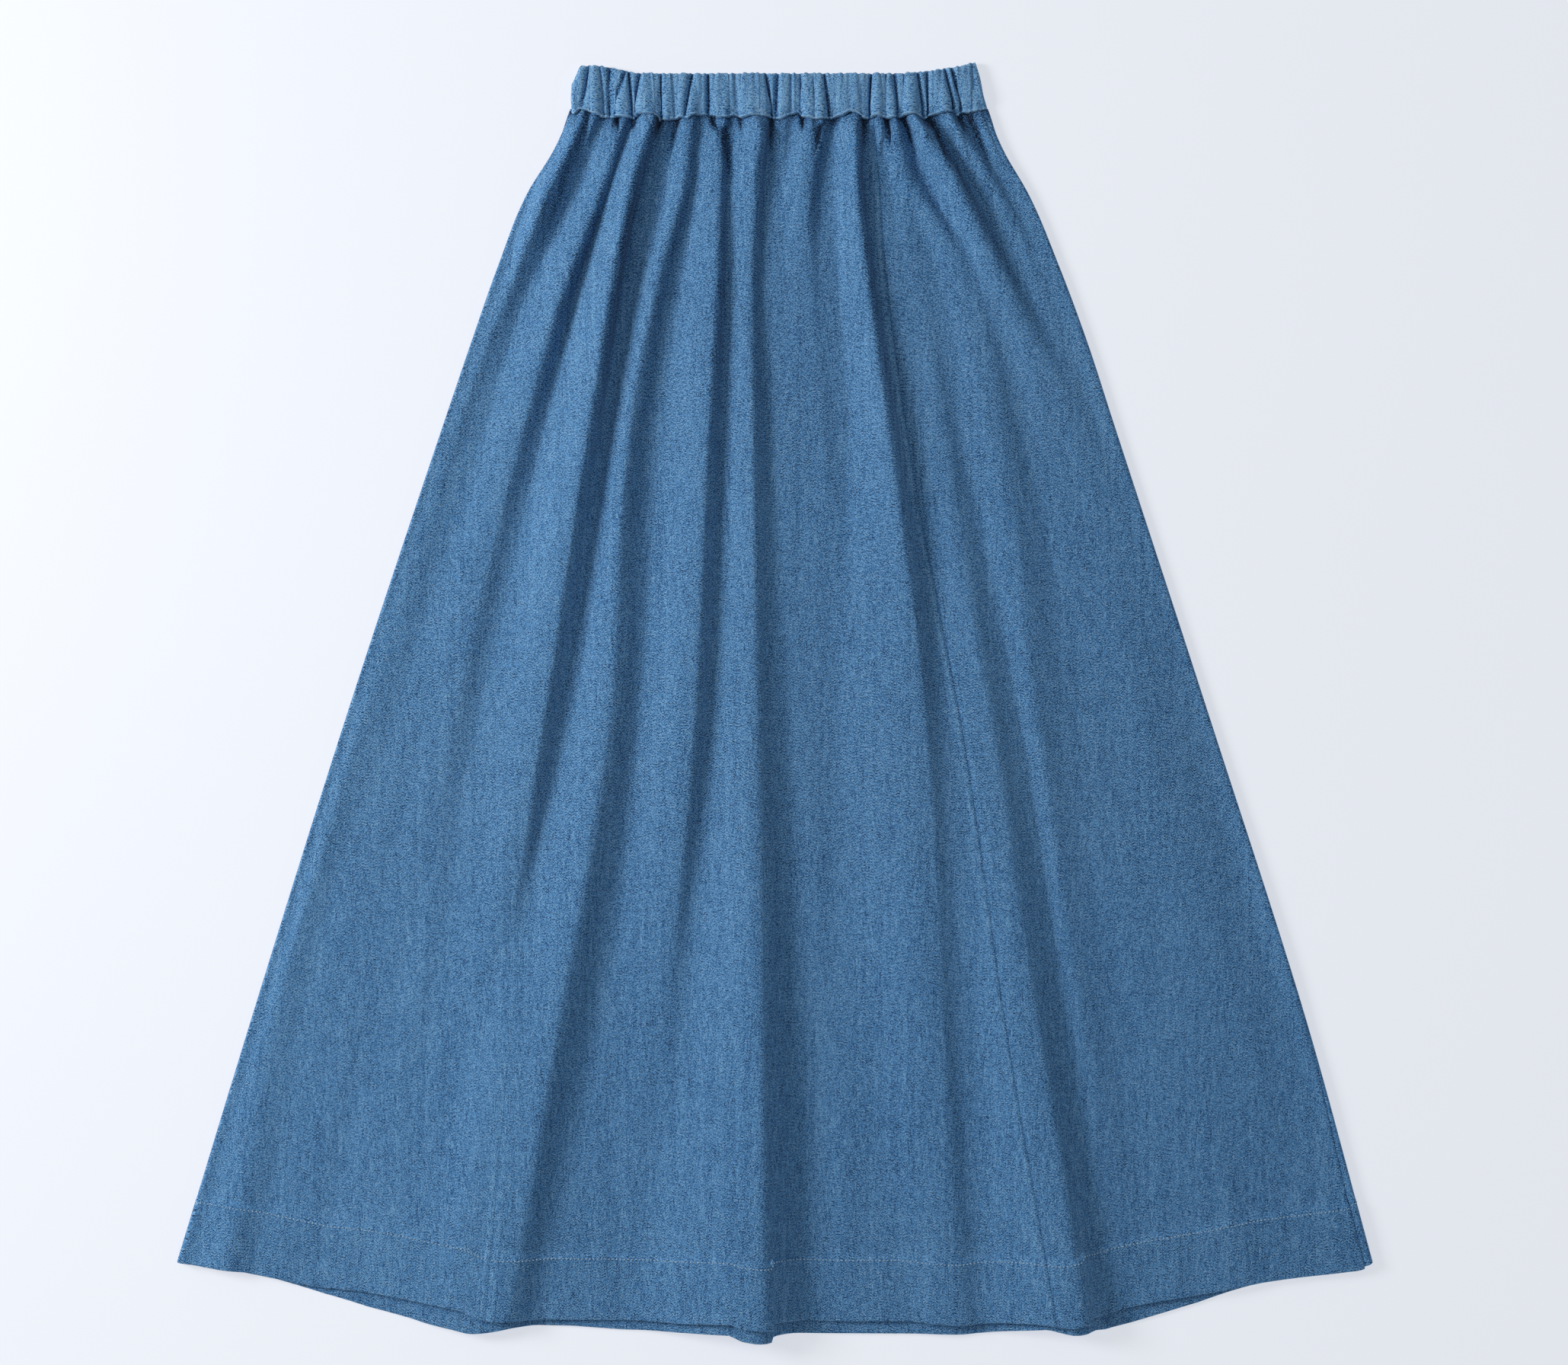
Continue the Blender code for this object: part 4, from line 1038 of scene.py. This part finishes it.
def casing_lie(x, share, front):
    """Inner face, thickness and painted pinch shade of the casing at an x and a share of its height.
    """
    left = x - along(CASING_STATIONS, CASING_LEFT_X, share)
    right = along(CASING_STATIONS, CASING_RIGHT_X, share) - x
    inside = ease(CASING_FADE_START, CASING_FADE_END, np.minimum(left, right))
    folds = fold_lie(x, 0.0)[0] * blend(SEAM_FOLD_LIFT, TOP_FOLD_LIFT, share) * inside
    if not front:
        wander = BACK_PINCH_WANDER * np.sin(x / BACK_WANDER_PITCH)
        soft = 0.5 + 0.5 * np.cos(2 * np.pi * x / BACK_PINCH_PITCH + wander)
        # Painted shade: soft dark stripes stand in for the shade of the back's pinches.
        return nested(folds) + CASING, CASING, BACK_PINCH_PAINTED_SHADE * soft
    sunk, slit = pinched(x, share)
    puff = (PUFF * (1 - sunk) - SLIT_DEPTH * slit) * inside
    ruche = (FINE_RUCHE + ease(1 - TOP_RUCHE_REACH, 1, share) * TOP_RUCHE) * scallop(x)
    seam_ruche = (1 - ease(0, SEAM_RUCHE_REACH, share)) * scallop(x + SEAM_RUCHE_SHIFT) * SEAM_RUCHE
    # The slit is also given back for painted shade in its colour.
    return CASING + GAP + folds, CASING + puff + (ruche + seam_ruche) * inside, slit


def casing_y(x, share, front):
    """From the casing seam up to the scalloped top edge, which rises towards both ends."""
    top = CASING_TOP_Y + np.interp(x, CASING_TOP_X, CASING_TOP_RISE) + OUTLINE_RUCHE * scallop(x)
    seam = WAIST_Y + CASING_GAP / 2 + (seam_wave(x) if front else BACK_SEAM_RISE)
    return blend(seam, top, share)


def casing_columns(share, left, right):
    """x of the front's columns at each share of the height: straight lines that run along the
    pinches, so that each slit is smooth, and that bend with the band's edges near its ends."""
    seam_ends = (CASING_LEFT_X[0] + CASING, CASING_RIGHT_X[0] - CASING)
    top_ends = (CASING_LEFT_X[-1] + CASING, CASING_RIGHT_X[-1] - CASING)
    seam_stations = [seam_ends[0], *(pinch.seam_x for pinch in PINCHES), seam_ends[1]]
    top_stations = [top_ends[0], *(pinch.top_x for pinch in PINCHES), top_ends[1]]
    seam_x = np.linspace(seam_ends[0], seam_ends[1], CASING_COLUMNS)[:, None]
    x = blend(seam_x, np.interp(seam_x, seam_stations, top_stations), share)
    left_bend = left - blend(CASING_LEFT_X[0], CASING_LEFT_X[-1], share)
    right_bend = right - blend(CASING_RIGHT_X[0], CASING_RIGHT_X[-1], share)
    x = x + left_bend * np.exp((seam_ends[0] - seam_x) / END_BEND_REACH)
    return x + right_bend * np.exp((seam_x - seam_ends[1]) / END_BEND_REACH)


def casing_ring():
    """Inner face, wall thickness and painted pinch shade of the whole ring, and the shares of its
    height:
    the front from left to right, then the back from right to left, with a rolled end at each turn.
    Rows run from the top down, and lie closer at the top edge and the seam."""
    even = np.linspace(1, 0, CASING_DOWN)[None, :]
    share = (even + (1 - np.cos(np.pi * even)) / 2) / 2
    left = along(CASING_STATIONS, CASING_LEFT_X, share)
    right = along(CASING_STATIONS, CASING_RIGHT_X, share)
    rim = CASING_EDGE_RADIUS - CASING
    middle = (2 * CASING + GAP) / 2
    across = np.linspace(1, 0, CASING_BACK_COLUMNS)[1:-1, None]
    back_x = left + CASING + (right - left - 2 * CASING) * across
    layers = []
    for front, x in ((True, casing_columns(share, left, right)), (False, back_x)):
        from_end = np.minimum(x - left, right - x) - CASING
        angle = np.arccos(np.clip(1 - from_end / rim, 0, 1))
        z, wall, pinch_shade = casing_lie(x, share, front)
        z = blend(middle, z, np.sin(angle))
        points = np.stack((x, casing_y(x, share, front), z), axis=-1)
        layers.append((points, wall + 0 * x, pinch_shade))
    points, walls, pinch_shade = (np.concatenate(parts) for parts in zip(*layers))
    return points, walls, pinch_shade, share


def casing_wall(wall, from_top, from_seam):
    """Thickness of the band, rounded off at both edges and thinner towards its seam, with the
    piping at the seam and the furrow above it."""
    edges = np.minimum(rounded(from_top, TOP_ROUNDING), rounded(from_seam, SEAM_ROUNDING))
    left_over = blend(EDGE_WALL, 1, edges)
    left_over = left_over * blend(SEAM_WALL, 1, ease(0, SEAM_FULLNESS, from_seam))
    piping = PIPING_RISE * bell(from_seam - PIPING_PLACE, PIPING_WIDTH)
    groove = GROOVE_DEPTH * bell(from_seam - GROOVE_PLACE, GROOVE_WIDTH)
    return wall * left_over + piping - groove


def casing_wear(x, pinch_shade, from_top, from_seam):
    """Dye rubbed off the piping, in some stretches more than in others, and off the top edge, which
    also gets a painted highlight. The slits of the pinches, and soft stripes on the back, get painted
    shade."""
    wander = PIPING_WEAR_WANDER * np.sin(x / PIPING_WANDER_PITCH)
    tone_shift = PIPING_WEAR + PIPING_WEAR_SWING * np.sin(x / PIPING_WEAR_PITCH + wander)
    # Painted shade darkens the slits and the back's stripes.
    wear = tone_shift * bell(from_seam - PIPING_WEAR_PLACE, PIPING_WEAR_WIDTH) - SLIT_PAINTED_SHADE * pinch_shade
    # The top edge is paler from rubbed wear and a painted highlight.
    return wear + TOP_WEAR_AND_HIGHLIGHT * bell(from_top, TOP_HIGHLIGHT_REACH)


def make_casing():
    """The casing as one closed ring of cloth."""
    base, wall, pinch_shade, share = casing_ring()
    closed = np.concatenate((base[-1:], base, base[:1]))
    normal = grid_normals(closed)[1:-1]
    height = CASING_TOP_Y - WAIST_Y
    from_top = (1 - share) * height
    from_seam = share * height
    outer = base + normal * casing_wall(wall, from_top, from_seam)[..., None]
    outer[..., 2] = np.maximum(outer[..., 2], 0.0)
    wear = casing_wear(base[..., 0], pinch_shade, from_top, from_seam)
    arc = running(np.linalg.norm(np.diff(base, axis=0), axis=-1).mean(axis=1))
    flat = np.stack(np.broadcast_arrays(arc[:, None], from_top), axis=-1) * MM
    piece = wall_object("waist_casing", outer, base, flat, wear,
                        denim("casing_denim", CASING_TONE), ring=True)
    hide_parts("waistband")


make_casing()


# Stitching
# Spun thread in lockstitch: a pale row all round the hem, 44 mm up, and a finer blue row beside the
# right front seam that holds its allowances down near the casing. Four loose ends of the pale
# thread stick out at the casing seam.

HEM_PITCH = 2.75                # from one stitch to the next, how long each is, and its radius
HEM_STITCH = 1.55
HEM_THREAD = 0.42
SEAM_PITCH = 2.6
SEAM_STITCH = 1.7
SEAM_THREAD = 0.17
SEAM_ROW_INSET = 6.0            # from the seam to its row of stitches
SEAM_ROW_LENGTH = 230.0         # it shows this far down from the casing
THREAD_PALE = (0.50, 0.66, 0.78, 1.0)
THREAD_BLUE = (0.13, 0.30, 0.50, 1.0)
THREAD_SHADE = 0.72             # its darker places, as a share of its colour
THREAD_GRAIN = 420.0            # their fineness
THREAD_FINISH = {"Roughness": 0.75}
THREAD_SIDES = 6
STITCH_RINGS = 5
STITCH_ARCH = 1.1               # height of a stitch's arch and how deep its ends are sunk, in radii
STITCH_SINK = 0.55
STITCH_TIP = 0.35               # radius at a stitch's ends, as a share of that at its middle
BACK_SHOWS = 11                 # columns of the back right gore that show beside the front's hem
# Loose ends of thread at the casing seam: where each leaves the seam, where it ends, and its bow
END_STARTS = ((-10.6, 419.4, 12.0), (-11.6, 419.6, 12.0), (-7.0, 418.6, 12.0), (-5.2, 417.8, 12.0))
END_TIPS = ((-14.2, 423.6, 15.5), (-8.6, 420.2, 14.6), (-9.6, 420.0, 14.8), (-7.4, 419.4, 14.4))
END_BOWS = ((0.7, 0.5, 1.2), (0.1, 0.7, 1.4), (0.2, 0.5, 1.3), (0.3, -0.3, 1.3))
END_THREAD = 0.22
END_THINNING = 0.6
END_RINGS = 7
UPWARDS = np.array((0.0, 0.0, 1.0))


def thread_material(name, colour):
    """Matt spun thread, a little uneven in tone along its length."""
    material, tree, shader = new_material(name, THREAD_FINISH)
    where = add_node(tree, "ShaderNodeTexCoord").outputs["Object"]
    noise = add_node(tree, "ShaderNodeTexNoise", {"Vector": where, "Scale": THREAD_GRAIN,
                                                  "Detail": 1.0})
    dark = tuple(channel * THREAD_SHADE for channel in colour[:3]) + (1.0,)
    shade = colour_ramp(tree, noise.outputs["Fac"], ((0.35, dark), (0.65, colour)))
    tree.links.new(shade, shader.inputs["Base Color"])
    return material


def tubes(middle, axis, up, radius):
    """Points and faces of round tubes, one along each row of middle points. Each ring stands
    square to its tube's axis, with its first spoke at right angles to up."""
    aside = unit(np.cross(up, axis))
    turn = np.linspace(0, 2 * np.pi, THREAD_SIDES, endpoint=False)[:, None]
    around = np.cos(turn) * aside[:, :, None] + np.sin(turn) * up[:, :, None]
    points = middle[:, :, None] + radius[..., None, None] * around
    index = np.arange(points[..., 0].size).reshape(points.shape[:3])
    nxt = np.roll(index, -1, axis=2)
    quads = np.stack((index[:, :-1], nxt[:, :-1], nxt[:, 1:], index[:, 1:]), axis=-1)
    caps = index[:, 0, ::-1].tolist() + index[:, -1].tolist()
    return points.reshape(-1, 3), quads.reshape(-1, 4).tolist() + caps


def point_at(where, arc, path):
    """Points at some distances along a path; arc holds the distance of each of its own points."""
    return np.stack([np.interp(where, arc, path[:, k]) for k in range(3)], axis=-1)


def stitches(runs, pitch, length, radius):
    """All stitches along some paths, each given by its points and the cloth's normals there. A
    stitch is a short tube whose ends dive into the cloth: its middle line is an arch, half a sine
    wave high, and its radius swells in the same way."""
    places = []
    for path, normal in runs:
        arc = running(np.linalg.norm(np.diff(path, axis=0), axis=-1))
        middles = np.arange(pitch / 2, arc[-1] - pitch / 2, pitch)
        for shift, line in ((-length / 2, path), (length / 2, path), (0.0, normal)):
            places.append(point_at(middles + shift, arc, line))
    start, end, up = (np.concatenate(places[k::3])[:, None] for k in range(3))
    t = np.linspace(0, 1, STITCH_RINGS)
    bulge = np.sin(np.pi * t)
    arch = radius * (STITCH_ARCH * bulge - STITCH_SINK)
    middle = blend(start, end, t[:, None]) + up * arch[:, None]
    return tubes(middle, unit(end - start), up, radius * blend(STITCH_TIP, 1, bulge))


def thread_ends(starts, ends, bows, radius):
    """Loose ends of thread: each follows a parabola from its start to its end, bowed by a given
    offset at its middle, and thins towards its free end."""
    t = np.linspace(0, 1, END_RINGS)[:, None]
    start, end, bow = (np.array(table, float)[:, None] for table in (starts, ends, bows))
    middle = blend(start, end, t) + bow * 4 * t * (1 - t)
    axis = unit(np.gradient(middle, axis=1))
    up = unit(UPWARDS - axis[..., 2:] * axis)
    return tubes(middle, axis, up, radius * (1 - END_THINNING * t[:, 0]))


def sew(name, thread, colour):
    """One object for all the threads of a kind."""
    points, faces = thread
    mesh = bpy.data.meshes.new(name)
    mesh.from_pydata((points * MM).tolist(), [], faces)
    mesh.shade_smooth()
    piece = add_piece(name, mesh, thread_material(name + "_thread", colour))


def column_inset(gore, inset, length):
    """Path down a gore's top face, at a distance along the cloth from its last column and as far
    down as length, with the normals there."""
    path = []
    up = []
    for j in range(np.searchsorted(gore.depth[-1], length)):
        where = gore.arc[-1, j] - inset
        path.append(point_at(where, gore.arc[:, j], gore.top[:, j]))
        up.append(point_at(where, gore.arc[:, j], gore.normal[:, j]))
    return np.array(path), np.array(up)


hem_runs = [(gore.top[:, STITCH_ROW], gore.normal[:, STITCH_ROW])
            for gore in (front_left, front_centre, front_right)]
back_show = slice(-BACK_SHOWS, None)
hem_runs.append((back_right.base[back_show, STITCH_ROW], -back_right.normal[back_show, STITCH_ROW]))
sew("hem_stitches", stitches(hem_runs, HEM_PITCH, HEM_STITCH, HEM_THREAD), THREAD_PALE)
seam_runs = [column_inset(front_centre, SEAM_ROW_INSET, SEAM_ROW_LENGTH)]
sew("seam_stitches", stitches(seam_runs, SEAM_PITCH, SEAM_STITCH, SEAM_THREAD), THREAD_BLUE)
sew("thread_ends", thread_ends(END_STARTS, END_TIPS, END_BOWS, END_THREAD), THREAD_PALE)
